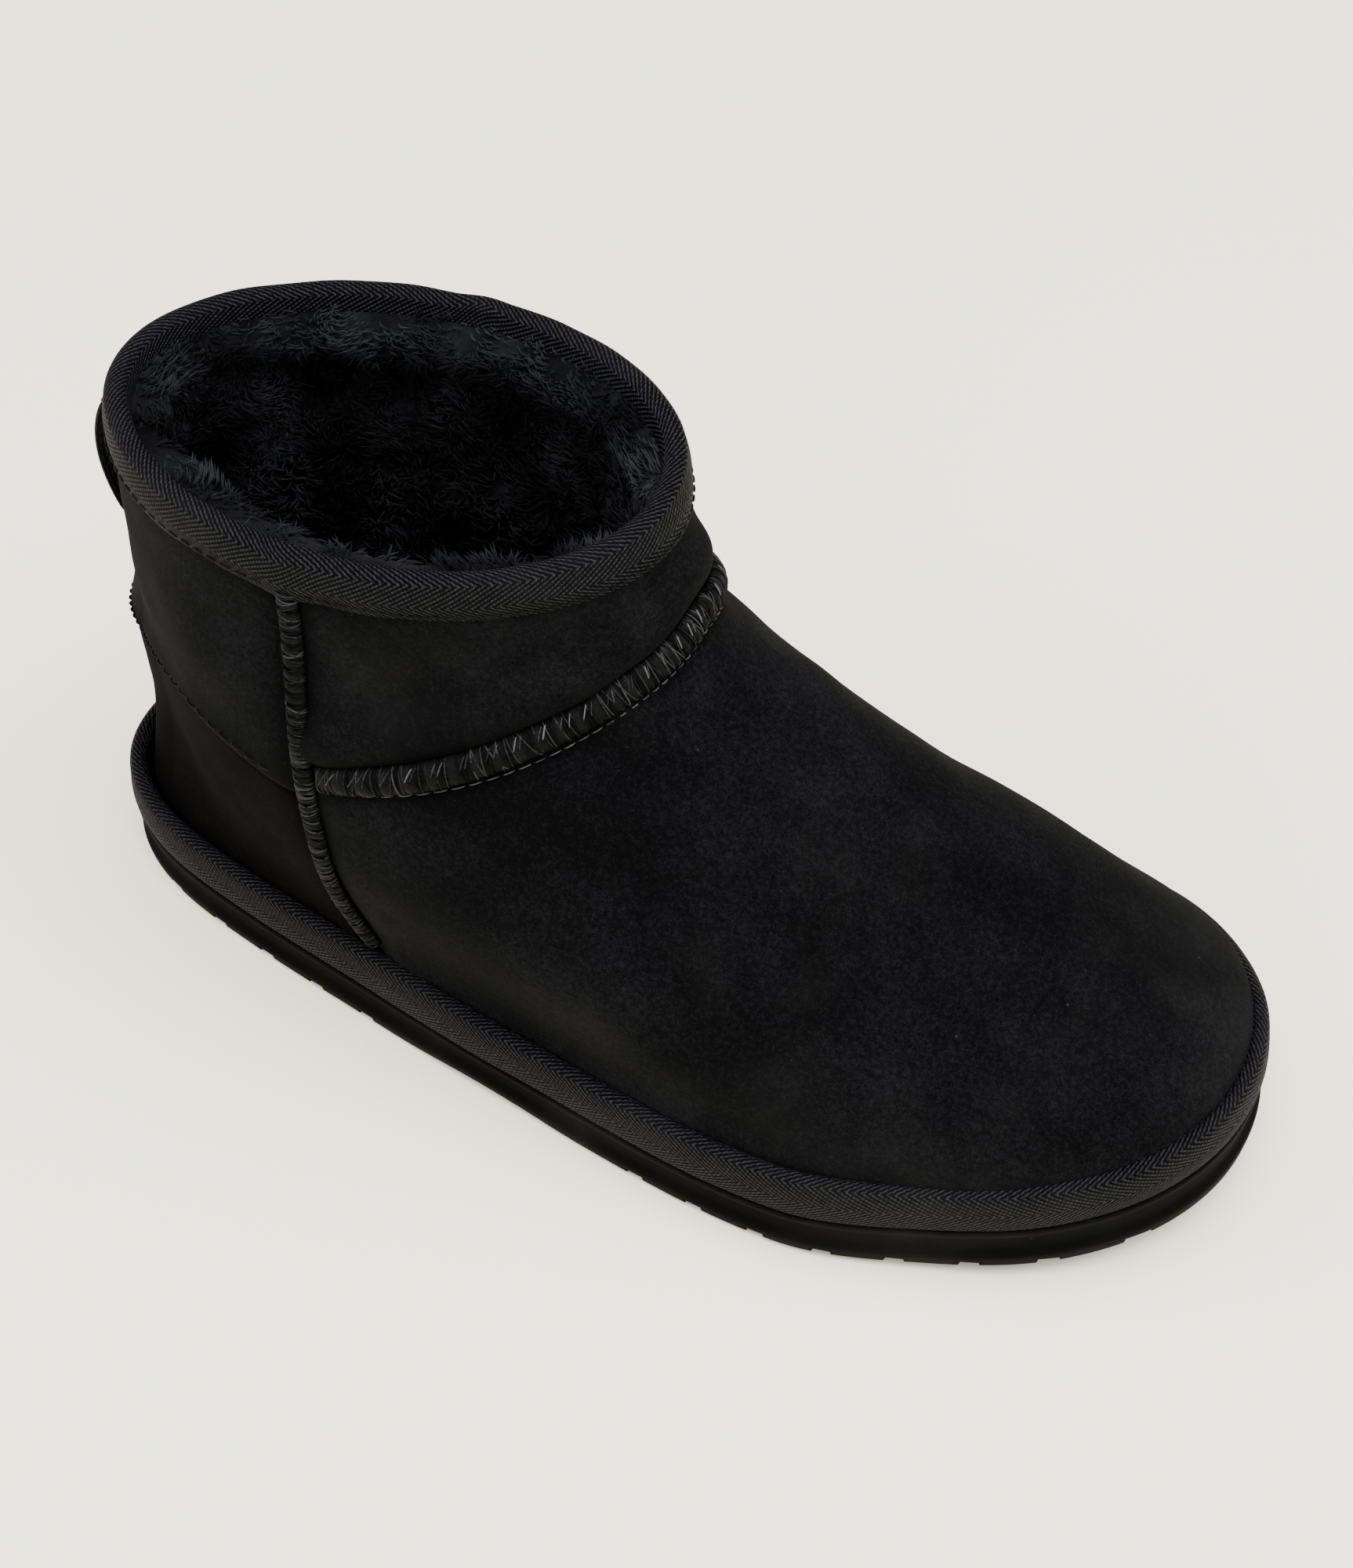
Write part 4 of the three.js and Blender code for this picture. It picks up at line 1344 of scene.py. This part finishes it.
@dataclass
class SeamBead:
    """Raised seam along a path on the last, with its wrapped thread."""

    last: Last
    wardrobe: Wardrobe
    name: str
    node: str
    path: Callable[[Array], tuple[Array, Array]]
    length: float
    width: float = 5.6
    rise: float = 2.3
    pitch: float = 2.1
    slant: float = 0.0
    lobes: float = 0.22
    wave_pitch: float = 3.0
    lift: float = 0.35
    thread: float = 0.34
    pairs: bool = False
    over: tuple[float, float] = (0.04, 0.96)
    braid: float = 0.0
    cross: float = 0.0
    uneven: float = 0.3
    finish: Finish = THREAD
    seed: int = 3

    def frame(self, share: Array) -> tuple[Array, Array, Array]:
        """Centre, side and outward directions at shares of the path.

        Args:
            share: shares from 0 to 1.
        Returns:
            Points, unit sideways and unit outward vectors.
        """
        level, turn = self.path(share)
        centre = self.last.skin(level, turn)
        normal = self.last.normal(level, turn)
        step = 0.004
        ahead = self.last.skin(*self.path(np.minimum(share + step, 1)))
        behind = self.last.skin(*self.path(np.maximum(share - step, 0)))
        across = unit(np.cross(ahead - behind, normal))
        return centre, across, normal

    def on_bead(self, share: Array, angle: Array, extra: float = 0.0) -> Array:
        """Point of the bead's surface: a flattened round over the seam, sinking at its sides.

        Args:
            share: share along the path.
            angle: 0 at one side, half a turn at the other, over the top.
            extra: distance above the surface.
        Returns:
            Points in millimetres.
        """
        centre, across, normal = self.frame(share)
        wide = (self.width / 2 + extra) * np.cos(angle)
        high = self.lift + (self.rise + extra) * np.abs(np.sin(angle)) ** 0.8 * np.sign(np.sin(angle))
        sag = wide**2 / 90.0
        return centre + across * wide[..., None] + normal * (high - sag)[..., None]

    def build(self) -> None:
        """Make the bead and its wrapped thread."""
        steps = int(self.length / 0.7)
        share = np.linspace(0, 1, steps)[:, None]
        angle = np.linspace(0, math.pi, 13)[None, :]
        share, angle = np.broadcast_arrays(share, angle)
        wave = np.cos(share * self.length / self.wave_pitch * FULL_TURN + angle * self.slant * 0.5)
        top = self.on_bead(share, angle)
        centre, _, normal = self.frame(share)
        ends = smooth_step(np.minimum(share, 1 - share) * self.length / 2.5)
        top = top + normal * (self.lobes * wave * np.sin(angle) - (1 - ends) * self.rise * 0.6
                              * np.sin(angle))[..., None]
        under = (centre - normal * 0.6)[:, :1]
        points = np.concatenate([top, under], 1)
        maker = MeshMaker(self.name)
        # Painted light and shade: the bead's tone is lighter on its raised lobes and darker between them.
        tone = 0.35 + 0.2 * np.concatenate([wave, wave[:, :1]], 1)
        maker.add_grid(points, wrap_columns=True, tone=tone, turned=True)
        columns = points.shape[1]
        ring = np.arange(columns)
        maker.add_faces(np.stack([ring, (ring + (steps - 1) * columns)[::-1]]))
        piece = maker.build("thread", (self.node,))
        self.wardrobe.dress(piece, DARK_THREAD)
        self.add_wraps()

    def add_wraps(self) -> None:
        """Thread passed over the bead again and again, from one side to the other."""
        count = int(self.length / self.pitch)
        rng = np.random.default_rng(self.seed)
        start = (np.arange(count) + 0.5) / count
        if self.pairs:
            start = start + np.where(np.arange(count) % 2 == 0, 0.29, -0.29) / count
        start = start + rng.normal(0, 0.1, count) / count
        over = np.linspace(*self.over, 9)
        off_middle = (over - (over[0] + over[-1]) / 2)[None, :]
        crossed = np.where(np.arange(count) % 2 == 0, 1, -1) * self.cross + rng.normal(0, self.uneven, count)
        lean = off_middle * (self.slant + crossed[:, None]) + np.abs(off_middle) * self.braid
        share = start[:, None] + lean / self.length
        share = np.clip(share, 0.002, 0.998)
        angle = np.broadcast_to(over * math.pi, share.shape)
        paths = self.on_bead(share, angle, self.thread * 0.55)
        radii = self.thread * np.array([0.5, 0.85, 1, 1, 1, 1, 1, 0.85, 0.5])[None, :]
        radii = radii * rng.uniform(0.75, 1.25, (count, 1))
        maker = MeshMaker(self.name + "_thread")
        add_rounds(maker, paths, radii, rng.uniform(0.1, 1.0, count) ** 2)
        self.wardrobe.dress(maker.build("thread"), self.finish)


@dataclass
class StitchRow:
    """Row of lock stitches along a path on the last."""

    last: Last
    wardrobe: Wardrobe
    name: str
    path: Callable[[Array], tuple[Array, Array]]
    length: float
    out: float
    pitch: float = 3.4
    cover: float = 0.72
    radius: float = 0.28
    finish: Finish = DARK_THREAD
    seed: int = 7

    def build(self) -> None:
        """Make the row, each stitch dipping into the leather at both ends."""
        count = int(self.length / self.pitch)
        part = np.linspace(0, self.cover, 5)
        share = (np.arange(count)[:, None] + part[None, :]) / count
        level, turn = self.path(share)
        normal = self.last.normal(level, turn)
        height = self.out + np.array([-0.35, 0.05, 0.14, 0.05, -0.35])[None, :]
        paths = self.last.skin(level, turn) + normal * height[..., None]
        rng = np.random.default_rng(self.seed)
        maker = MeshMaker(self.name)
        radii = self.radius * np.array([[0.6, 1, 1, 1, 0.6]])
        add_rounds(maker, paths, radii, rng.uniform(0.2, 0.8, count))
        self.wardrobe.dress(maker.build("thread"), self.finish)


# ---- Wool ----

@dataclass(frozen=True)
class LockBand:
    """Band of the lining on which one piece's locks grow, with their number, length and seed."""

    name: str
    low: float
    high: float
    count: int
    length: float
    seed: int


@dataclass
class Wool:
    """The fleece inside: a soft backing and thousands of small locks."""

    last: Last
    wardrobe: Wardrobe
    backing: float = 2.0
    pile: float = 1.7
    lock_radius: float = 0.36
    bulge: float = 6.0
    outer_bulge: float = 4.0
    bulge_level: float = 0.955
    bulge_spread: float = 0.05
    bulge_top: float = 0.99
    toe_share: float = 0.72
    toe_level: float = 0.62
    footbed_height: float = 8.6
    footbed_locks: int = 7000
    footbed_shown_to: float = 42.0
    footbed_half: float = 110.0
    spine_half: float = 96.0
    bands: tuple[LockBand, ...] = (
        LockBand("collar_wool", 0.74, 0.981, 20000, 4.4, 51),
        LockBand("ankle_wool", 0.22, 0.76, 16500, 5.4, 52),
    )

    def backing_depth(self, level: Array, points: Array) -> Array:
        """How far inwards the backing's face lies: the wall less the pile, with soft clumps.

        Under the binding a bell of wool swells inwards, more at the outer side, and it ends at the rim.

        Args:
            level: levels up the upper.
            points: the skin's points there.
        Returns:
            Depths under the skin, in millimetres.
        """
        clumps = waves(points, 6.0, 41) * 0.7 + waves(points, 15.0, 42) * 1.6
        outer = smooth_step(-points[..., 1] / 25)
        bulge = (self.bulge + self.outer_bulge * outer) * bell(level - self.bulge_level, self.bulge_spread)
        below_top = self.bulge_top - level
        bulge = bulge * smooth_step(below_top / 0.035)
        return self.last.wall_at(level) - self.pile + bulge + clumps * smooth_step(below_top / 0.08)

    def build(self) -> None:
        """Make the lining's backing, its locks in two bands, and the footbed."""
        self._lining()
        for band in self.bands:
            self._locks(band)
        self._footbed()

    def _lining(self) -> None:
        """Closed shell from the sole to under the binding."""
        level = np.linspace(0.012, 0.985, 120)[:, None]
        turn = (np.arange(300) / 300 * FULL_TURN)[None, :]
        level, turn = np.broadcast_arrays(level, turn)
        base, normal = self.last.skin(level, turn), self.last.normal(level, turn)
        inner = base - normal * self.backing_depth(level, base)[..., None]
        outer = base - normal * self.backing
        maker = MeshMaker("wool_lining")
        tone = np.clip(0.22 + 0.1 * waves(base, 7.0, 41), 0, 1)
        points = np.concatenate([inner, outer[::-8]])
        shade = np.concatenate([tone, tone[::-8]])
        maker.add_grid(points, wrap_rows=True, wrap_columns=True, tone=shade, turned=True)
        self.wardrobe.dress(maker.build("wool", ("upper",)), WOOL)

    def _locks(self, band: LockBand) -> None:
        """Locks of wool over a band of the lining, but none down in the toe, where they wouldn't show.

        Args:
            band: where they grow and how many.
        """
        rng = np.random.default_rng(band.seed)
        level = rng.uniform(band.low, band.high, band.count * 2)
        turn = rng.uniform(0, FULL_TURN, band.count * 2)
        keep = (np.sin(turn / 2) ** 2 < self.toe_share) | (level > self.toe_level)
        level, turn = level[keep][:band.count], turn[keep][:band.count]
        base, normal = self.last.skin(level, turn), self.last.normal(level, turn)
        root = base - normal * (self.backing_depth(level, base) - 0.7)[:, None]
        self._add_locks(band.name, root, -normal, band.length, rng)

    def _add_locks(self, name: str, root: Array, out: Array, length: float,
                   rng: np.random.Generator) -> None:
        """Bend each lock from its root towards a lean that its neighbours share.

        Args:
            name: the piece's name.
            root: the locks' roots.
            out: direction away from the backing.
            length: usual length.
            rng: the random draws.
        """
        count = len(root)
        lean = np.stack([waves(root, 7.0, 61), waves(root, 7.0, 62), waves(root, 7.0, 63) + 0.25], -1)
        lean = lean + rng.normal(0, 0.36, (count, 3))
        lean = unit(lean - out * (lean * out).sum(-1, keepdims=True))
        long = length * rng.uniform(0.6, 1.2, count)
        s = np.array([0.0, 0.5, 1.0])[None, :, None]
        rise = out[:, None] * (s * 0.85 - 0.32 * s**2)
        paths = root[:, None] + (rise + lean[:, None] * (0.2 * s + 0.6 * s**2)) * long[:, None, None]
        thick = self.lock_radius * rng.uniform(0.7, 1.3, (count, 1))
        lit = 0.2 * smooth_step((root[:, 2] - 100) / 30)
        tips = np.clip(0.36 + lit + 0.32 * waves(root, 13.0, 71) + rng.normal(0, 0.08, count), 0, 1)
        maker = MeshMaker(name)
        add_spikes(maker, paths, thick * np.array([[1.0, 0.8]]), tips, np.array([0.35, 0.75, 1.1]))
        self.wardrobe.dress(maker.build("wool"), WOOL)

    def _footbed(self) -> None:
        """Sheepskin insole: a soft pad on the sole and its locks."""
        rings, columns = 26, 240
        turn = (np.arange(columns) / columns * FULL_TURN)[None, :]
        inset = self.last.rand_thickness + self.last.wall + 0.4
        share = np.linspace(1, 0.02, rings)[:, None]
        plan = self.last.sole_outline(np.broadcast_to(turn, (1, columns)), np.full((1, columns), inset))
        edges, spine_ends = [-self.footbed_half, self.footbed_half], [-self.spine_half, self.spine_half]
        spine = np.stack([np.interp(plan[..., 0], edges, spine_ends),
                          np.zeros_like(plan[..., 0])], -1)
        spine[..., 1] = (plan[..., 1] + plan[:, (-np.arange(columns)) % columns][..., 1]) / 2
        flat = spine + (plan - spine) * share[..., None]
        top = self.last.sole_height + self.footbed_height
        z = top + self.last.spring(flat[..., 0])
        surface = np.concatenate([flat, z[..., None]], -1)
        surface[..., 2] += waves(surface, 8.0, 81) * 0.5 - 1.6 * bell(1 - share, 0.06)
        bottom = surface[:1].copy()
        bottom[..., 2] = self.last.sole_height + 0.3 + self.last.spring(bottom[..., 0])
        points = np.concatenate([bottom, surface])
        maker = MeshMaker("footbed")
        rows = len(points)
        maker.add_grid(points, wrap_columns=True)
        add_caps(maker, rows, columns, turned=False)
        self.wardrobe.dress(maker.build("wool", ("insole",)), WOOL)
        rng = np.random.default_rng(83)
        count = self.footbed_locks
        pick_turn = rng.uniform(0, FULL_TURN, count * 2)
        pick_share = np.sqrt(rng.uniform(0, 1, count * 2))
        r = np.clip(((1 - pick_share) / 0.98 * (rings - 1)).astype(int), 0, rings - 1)
        c = (pick_turn / FULL_TURN * columns).astype(int) % columns
        root = surface[r, c] + rng.normal(0, 0.7, (count * 2, 3)) * np.array([1, 1, 0])
        root = root[root[:, 0] < self.footbed_shown_to][:count]
        up = np.broadcast_to(np.array([0.0, 0.0, 1.0]), root.shape)
        self._add_locks("footbed_wool", root - up * 0.5, up, 4.4, rng)


# ---- Sole ----

@dataclass
class Outsole:
    """Moulded foam rubber unit with a hollow band, a flared foot and lugs."""

    last: Last
    wardrobe: Wardrobe
    tread_tuck: float = 1.6
    hollow: float = 1.1
    pitch: float = 15.0
    groove: float = 4.3
    depth: float = 2.4
    cut_side: float = 70.0
    cut_below: float = 6.0
    sharp_from: float = math.radians(38)
    columns: int = 320

    def section(self) -> Array:
        """Side's section as inset and share of the height, from the top's middle down to the tread.

        Returns:
            Section points, insets in millimetres.
        """
        shown = np.array([
            [0.9, 1.0], [0.35, 0.99], [0.08, 0.95], [0.1, 0.88], [0.55, 0.82], [self.hollow, 0.74],
            [self.hollow + 0.1, 0.58], [self.hollow, 0.42], [0.45, 0.34], [0.0, 0.29], [-0.1, 0.22],
            [0.05, 0.12], [0.35, 0.05], [0.9, 0.01], [self.tread_tuck, 0.0],
        ])
        keys = np.arange(len(shown), dtype=float)
        return along(keys, shown, np.linspace(0, len(shown) - 1, 30))

    def build(self) -> None:
        """Make the unit and cut the grooves that leave its lugs standing."""
        turn = even_turns(self.last, self.columns)
        turn[self.columns // 2] = math.pi
        section = np.concatenate([[[4.0, 1.0]], self.section(), [[4.5, 0.0]]])
        inset = np.broadcast_to(section[:, :1], (len(section), self.columns))
        plan = self.last.sole_outline(np.broadcast_to(turn, inset.shape), inset)
        low = self.last.tread_height(plan[..., 0])
        high = self.last.sole_height + self.last.spring(plan[..., 0])
        z = low + (high - low) * section[:, 1:]
        points = np.concatenate([plan, z[..., None]], -1)
        # Painted light and shade down the side: darker over the hollow band, lighter on the flared foot
        # above the tread.
        painted_side_light_and_shade = 0.42 - 0.25 * bell(section[:, 1] - 0.6, 0.2) + 0.35 * bell(section[:, 1] - 0.2, 0.09)
        tone = np.broadcast_to(painted_side_light_and_shade[:, None], points.shape[:2]).copy()
        maker = MeshMaker("sole_unit")
        maker.add_grid(points, wrap_columns=True, tone=tone, turned=True)
        add_caps(maker, len(points), self.columns, turned=True)
        piece = maker.build("sole_rubber", ("outsole",))
        self._cut(piece)
        self.wardrobe.dress(piece, RUBBER)

    def _cut(self, piece: bpy.types.Object) -> None:
        """Cut grooves across the tread, under heel and forefoot but not under the arch.

        Args:
            piece: the sole, whose mesh is replaced by the cut one.
        """
        reach = self.last.sole_length / 2 - self.pitch / 2
        cutter = MeshMaker("groove_cutter")
        places = np.arange(-reach, reach, self.pitch)
        places = places[(places <= self.last.arch_from) | (places >= self.last.arch_to)]
        for x in places:
            top = float(self.last.tread_height(x)) + self.depth
            self._bar(cutter, (x - self.groove / 2, -self.cut_side, -self.cut_below),
                      (x + self.groove / 2, self.cut_side, top))
        tool = cutter.build("sole_rubber")
        cut = piece.modifiers.new("grooves", "BOOLEAN")
        cut.operation = "DIFFERENCE"
        cut.solver = "EXACT"
        cut.object = tool
        graph = bpy.context.evaluated_depsgraph_get()
        done = bpy.data.meshes.new_from_object(piece.evaluated_get(graph))
        piece.modifiers.clear()
        old = piece.data
        piece.data = done
        done.name = piece.name
        bpy.data.meshes.remove(old)
        bpy.data.objects.remove(tool)
        done.shade_smooth()
        done.set_sharp_from_angle(angle=self.sharp_from)

    @staticmethod
    def _bar(maker: MeshMaker, low: tuple[float, float, float], high: tuple[float, float, float]) -> None:
        """Add a straight bar between two corners.

        Args:
            maker: takes the bar.
            low: its corner with the least x, y and z.
            high: the opposite corner.
        """
        x, y, z = (np.array(pair) for pair in zip(low, high))
        points = np.stack(np.meshgrid(x, y, z, indexing="ij"), -1).reshape(-1, 3)
        faces = np.array([[0, 1, 3, 2], [4, 6, 7, 5], [0, 4, 5, 1],
                          [2, 3, 7, 6], [0, 2, 6, 4], [1, 5, 7, 3]])
        maker.add(points, faces)


# ---- Heel tab ----

@dataclass
class HeelTab:
    """Folded ribbon loop at the back, sewn down at both ends."""

    last: Last
    wardrobe: Wardrobe
    width: float = 20.0
    height: float = 32.0
    thickness: float = 1.7
    stand_off: float = 4.0
    fullness: float = 0.7
    gap: float = 0.3
    below_rim: float = 8.4

    def build(self) -> None:
        """Make the loop: a superellipse carried up the back, bowed outwards by a power of a sine."""
        rim = self.last.skin(np.array(1.0), np.array(0.0))
        steps, sides = 60, 20
        share = np.linspace(0, 1, steps)
        z = rim[2] - self.below_rim - self.height * (1 - share)
        level = np.linspace(0, 1, 400)
        back = self.last.skin(level, np.zeros_like(level))
        x = np.interp(z, back[:, 2], back[:, 0])
        bow = self.stand_off * np.clip(np.sin(math.pi * share), 0, 1) ** self.fullness
        centre = np.stack([x - self.gap - bow - self.thickness / 2, np.full_like(x, rim[1]), z], -1)
        way = unit(np.gradient(centre, axis=0))
        across = np.array([0.0, 1.0, 0.0])
        out = unit(np.cross(way, across))
        angle = np.arange(sides) / sides * FULL_TURN
        wide = self.width / 2 * np.sign(np.cos(angle)) * np.abs(np.cos(angle)) ** 0.18
        thin = self.thickness / 2 * np.sign(np.sin(angle)) * np.abs(np.sin(angle)) ** 0.6
        points = (centre[:, None] + across * wide[None, :, None] + out[:, None] * thin[None, :, None])
        maker = MeshMaker("pull_loop")
        closed = np.concatenate([points, points[:, :1]], 1)
        uv = np.stack([run_lengths(closed, 1), run_lengths(closed, 0)], -1)
        maker.add_grid(points, uv, wrap_columns=True)
        ring = np.arange(sides)
        maker.add_faces(np.stack([ring[::-1], ring + (steps - 1) * sides]))
        self.wardrobe.dress(maker.build("twill_tape", ("heel_tab",)), RIBBON)
        self._tacks(centre, out)

    def _tacks(self, centre: Array, out: Array) -> None:
        """Bar of stitches across each end.

        Args:
            centre: the loop's middle line.
            out: its outward directions, which may point either way.
        """
        maker = MeshMaker("loop_tacks")
        rng = np.random.default_rng(91)
        for end in (2, len(centre) - 3):
            away = out[end] * (-1 if out[end][0] > 0 else 1)
            y = np.linspace(-self.width / 2 + 1.5, self.width / 2 - 3.5, 7)
            start = centre[end] + away * (self.thickness / 2 + 0.1) + y[:, None] * np.array([0, 1.0, 0])
            step = np.linspace(0, 2.0, 4)[None, :, None] * np.array([0, 1.0, 0])
            paths = start[:, None] + step
            add_rounds(maker, paths, np.array([[0.15, 0.3, 0.3, 0.15]]), rng.uniform(0.2, 0.7, 7))
        self.wardrobe.dress(maker.build("thread"), DARK_THREAD)


# ---- Studio ----

@dataclass(frozen=True)
class Lamp:
    """Square soft light: where it hangs and aims, the length of a side, all in metres, and its watts."""

    name: str
    place: tuple[float, float, float]
    aim: tuple[float, float, float]
    side: float
    power: float


@dataclass
class Studio:
    """Pale floor, soft lights and the camera."""

    camera_place: tuple[float, float, float] = (0.2191, -0.3677, 0.5818)
    target: tuple[float, float, float] = (0.002, 0.007, 0.0605)
    roll: float = math.radians(-3.53)
    lens: float = 72.0
    sensor: float = 36.0
    sky: tuple[float, float, float, float] = (0.93, 0.95, 1.0, 1)
    sky_strength: float = 0.75
    paper: tuple[float, float, float, float] = (0.93, 0.922, 0.715, 1)
    pale_paper: tuple[float, float, float, float] = (0.94, 0.932, 0.725, 1)
    floor_reach: float = 3.0
    lamps: tuple[Lamp, ...] = (
        Lamp("key", (0.2, -0.1, 1.5), (0, 0, 0.05), 1.2, 56),
        Lamp("left", (-1.2, -0.5, 0.9), (0, 0, 0.06), 1.0, 17),
        Lamp("right", (1.3, 0.4, 0.9), (0, 0, 0.06), 1.0, 19),
        Lamp("front", (0.5, -1.4, 0.7), (0, 0, 0.06), 1.0, 13),
    )

    def build(self) -> None:
        """Make the floor, the lights, the world and the camera."""
        self._floor()
        for lamp in self.lamps:
            self._light(lamp)
        world = bpy.data.worlds.new("studio")
        world.use_nodes = True
        background = world.node_tree.nodes["Background"]
        background.inputs["Color"].default_value = self.sky
        background.inputs["Strength"].default_value = self.sky_strength
        bpy.context.scene.world = world
        data = bpy.data.cameras.new("camera")
        data.lens = self.lens
        data.sensor_width = self.sensor
        data.sensor_fit = "AUTO"
        data.clip_start = 0.01
        camera = bpy.data.objects.new("camera", data)
        camera.location = self.camera_place
        way = Vector(self.target) - Vector(self.camera_place)
        turned = way.to_track_quat("-Z", "Y") @ Quaternion((0, 0, 1), self.roll)
        camera.rotation_euler = turned.to_euler()
        bpy.context.scene.collection.objects.link(camera)
        bpy.context.scene.camera = camera

    def _floor(self) -> None:
        """Large pale floor."""
        size = self.floor_reach
        mesh = bpy.data.meshes.new("floor")
        mesh.from_pydata([(-size, -size, 0), (size, -size, 0), (size, size, 0), (-size, size, 0)], [],
                         [(0, 1, 2, 3)])
        floor = bpy.data.objects.new("floor", mesh)
        bpy.context.scene.collection.objects.link(floor)
        material = bpy.data.materials.new("floor_paper")
        material.use_nodes = True
        t = Tree(material.node_tree)
        shader = material.node_tree.nodes["Principled BSDF"]
        place = t.node("ShaderNodeTexCoord").outputs["Object"]
        tone = t.noise(place, 3.0, 2.0, 0.5)
        colour = t.mix(tone, self.paper, self.pale_paper)
        t.tree.links.new(colour, shader.inputs["Base Color"])
        shader.inputs["Roughness"].default_value = 0.7
        mesh.materials.append(material)

    @staticmethod
    def _light(lamp: Lamp) -> None:
        """Hang one lamp.

        Args:
            lamp: its place, aim, size and power.
        """
        data = bpy.data.lights.new(lamp.name, "AREA")
        data.size = lamp.side
        data.energy = lamp.power
        light = bpy.data.objects.new(lamp.name, data)
        light.location = lamp.place
        way = Vector(lamp.aim) - Vector(lamp.place)
        light.rotation_euler = way.to_track_quat("-Z", "Y").to_euler()
        bpy.context.scene.collection.objects.link(light)


def build_seams(last: Last, seams: SeamLines, wardrobe: Wardrobe) -> None:
    """Make the raised seams and the rows of stitches on the leather.

    Args:
        last: the boot's shape.
        seams: where the seams run.
        wardrobe: the finishes.
    """
    low, high = 0.145, 0.95
    half = math.pi - seams.instep_turn
    counter_reach = float(seams.side_turn(np.array(seams.counter_side_level))) - 0.09

    def outer_side(share: Array) -> tuple[Array, Array]:
        """Path of the outer side seam."""
        level = low + (high - low) * share
        return level, seams.side_turn(level)

    def inner_side(share: Array) -> tuple[Array, Array]:
        """Path of the inner side seam."""
        level = low + (high - low) * share
        return level, FULL_TURN - seams.side_turn(level)

    def instep(share: Array) -> tuple[Array, Array]:
        """Path of the instep seam."""
        turn = math.pi + (2 * share - 1) * half
        return seams.instep_level(turn), turn

    def below_instep(share: Array) -> tuple[Array, Array]:
        """Path just below the instep seam."""
        turn = math.pi + (2 * share - 1) * half * 0.97
        return seams.instep_level(turn) - 0.024, turn

    def counter(share: Array) -> tuple[Array, Array]:
        """Path just above the lapped edge over the counter."""
        turn = (2 * share - 1) * counter_reach
        return seams.counter_level(turn) + 0.008, turn

    for name, path, seed in (("outer", outer_side, 11), ("inner", inner_side, 12)):
        SeamBead(last, wardrobe, f"side_roll_{name}", f"side_seam_{name}", path, 104, width=4.8, rise=1.9,
                 pitch=0.66, braid=0.8, cross=1.3, uneven=0.7, lobes=0.42, wave_pitch=2.6, thread=0.19,
                 finish=SIDE_THREAD, seed=seed).build()
    roll = SeamBead(last, wardrobe, "instep_roll", "instep_seam", instep, 150, width=6.4, rise=2.5,
                    pitch=0.7, cross=0.9, uneven=0.7, lobes=0.4, wave_pitch=3.5, thread=0.18,
                    finish=SIDE_THREAD, seed=13)
    roll.build()
    replace(roll, name="instep_pairs", pitch=2.1, slant=4.6, cross=0.0, uneven=0.6, thread=0.17, lift=0.5,
            pairs=True, over=(0.52, 0.8), finish=THREAD, seed=16).add_wraps()
    StitchRow(last, wardrobe, "instep_stitches", below_instep, 150, 0.45, pitch=2.7, cover=0.8,
              finish=THREAD, radius=0.17, seed=14).build()
    StitchRow(last, wardrobe, "counter_stitches", counter, 170, 1.35, seed=15).build()


def main() -> None:
    """Build the whole boot and its studio in order."""
    logging.basicConfig(level=logging.INFO, format="%(message)s")
    Studio().build()
    last = Last()
    seams = SeamLines(last)
    wardrobe = Wardrobe()
    Outsole(last, wardrobe).build()
    Rand(last, wardrobe).build()
    Upper(last, seams, wardrobe).build()
    CollarBinding(last, seams, wardrobe).build()
    build_seams(last, seams, wardrobe)
    Wool(last, wardrobe).build()
    HeelTab(last, wardrobe).build()
    bpy.context.view_layer.update()


if __name__ == "__main__":
    main()
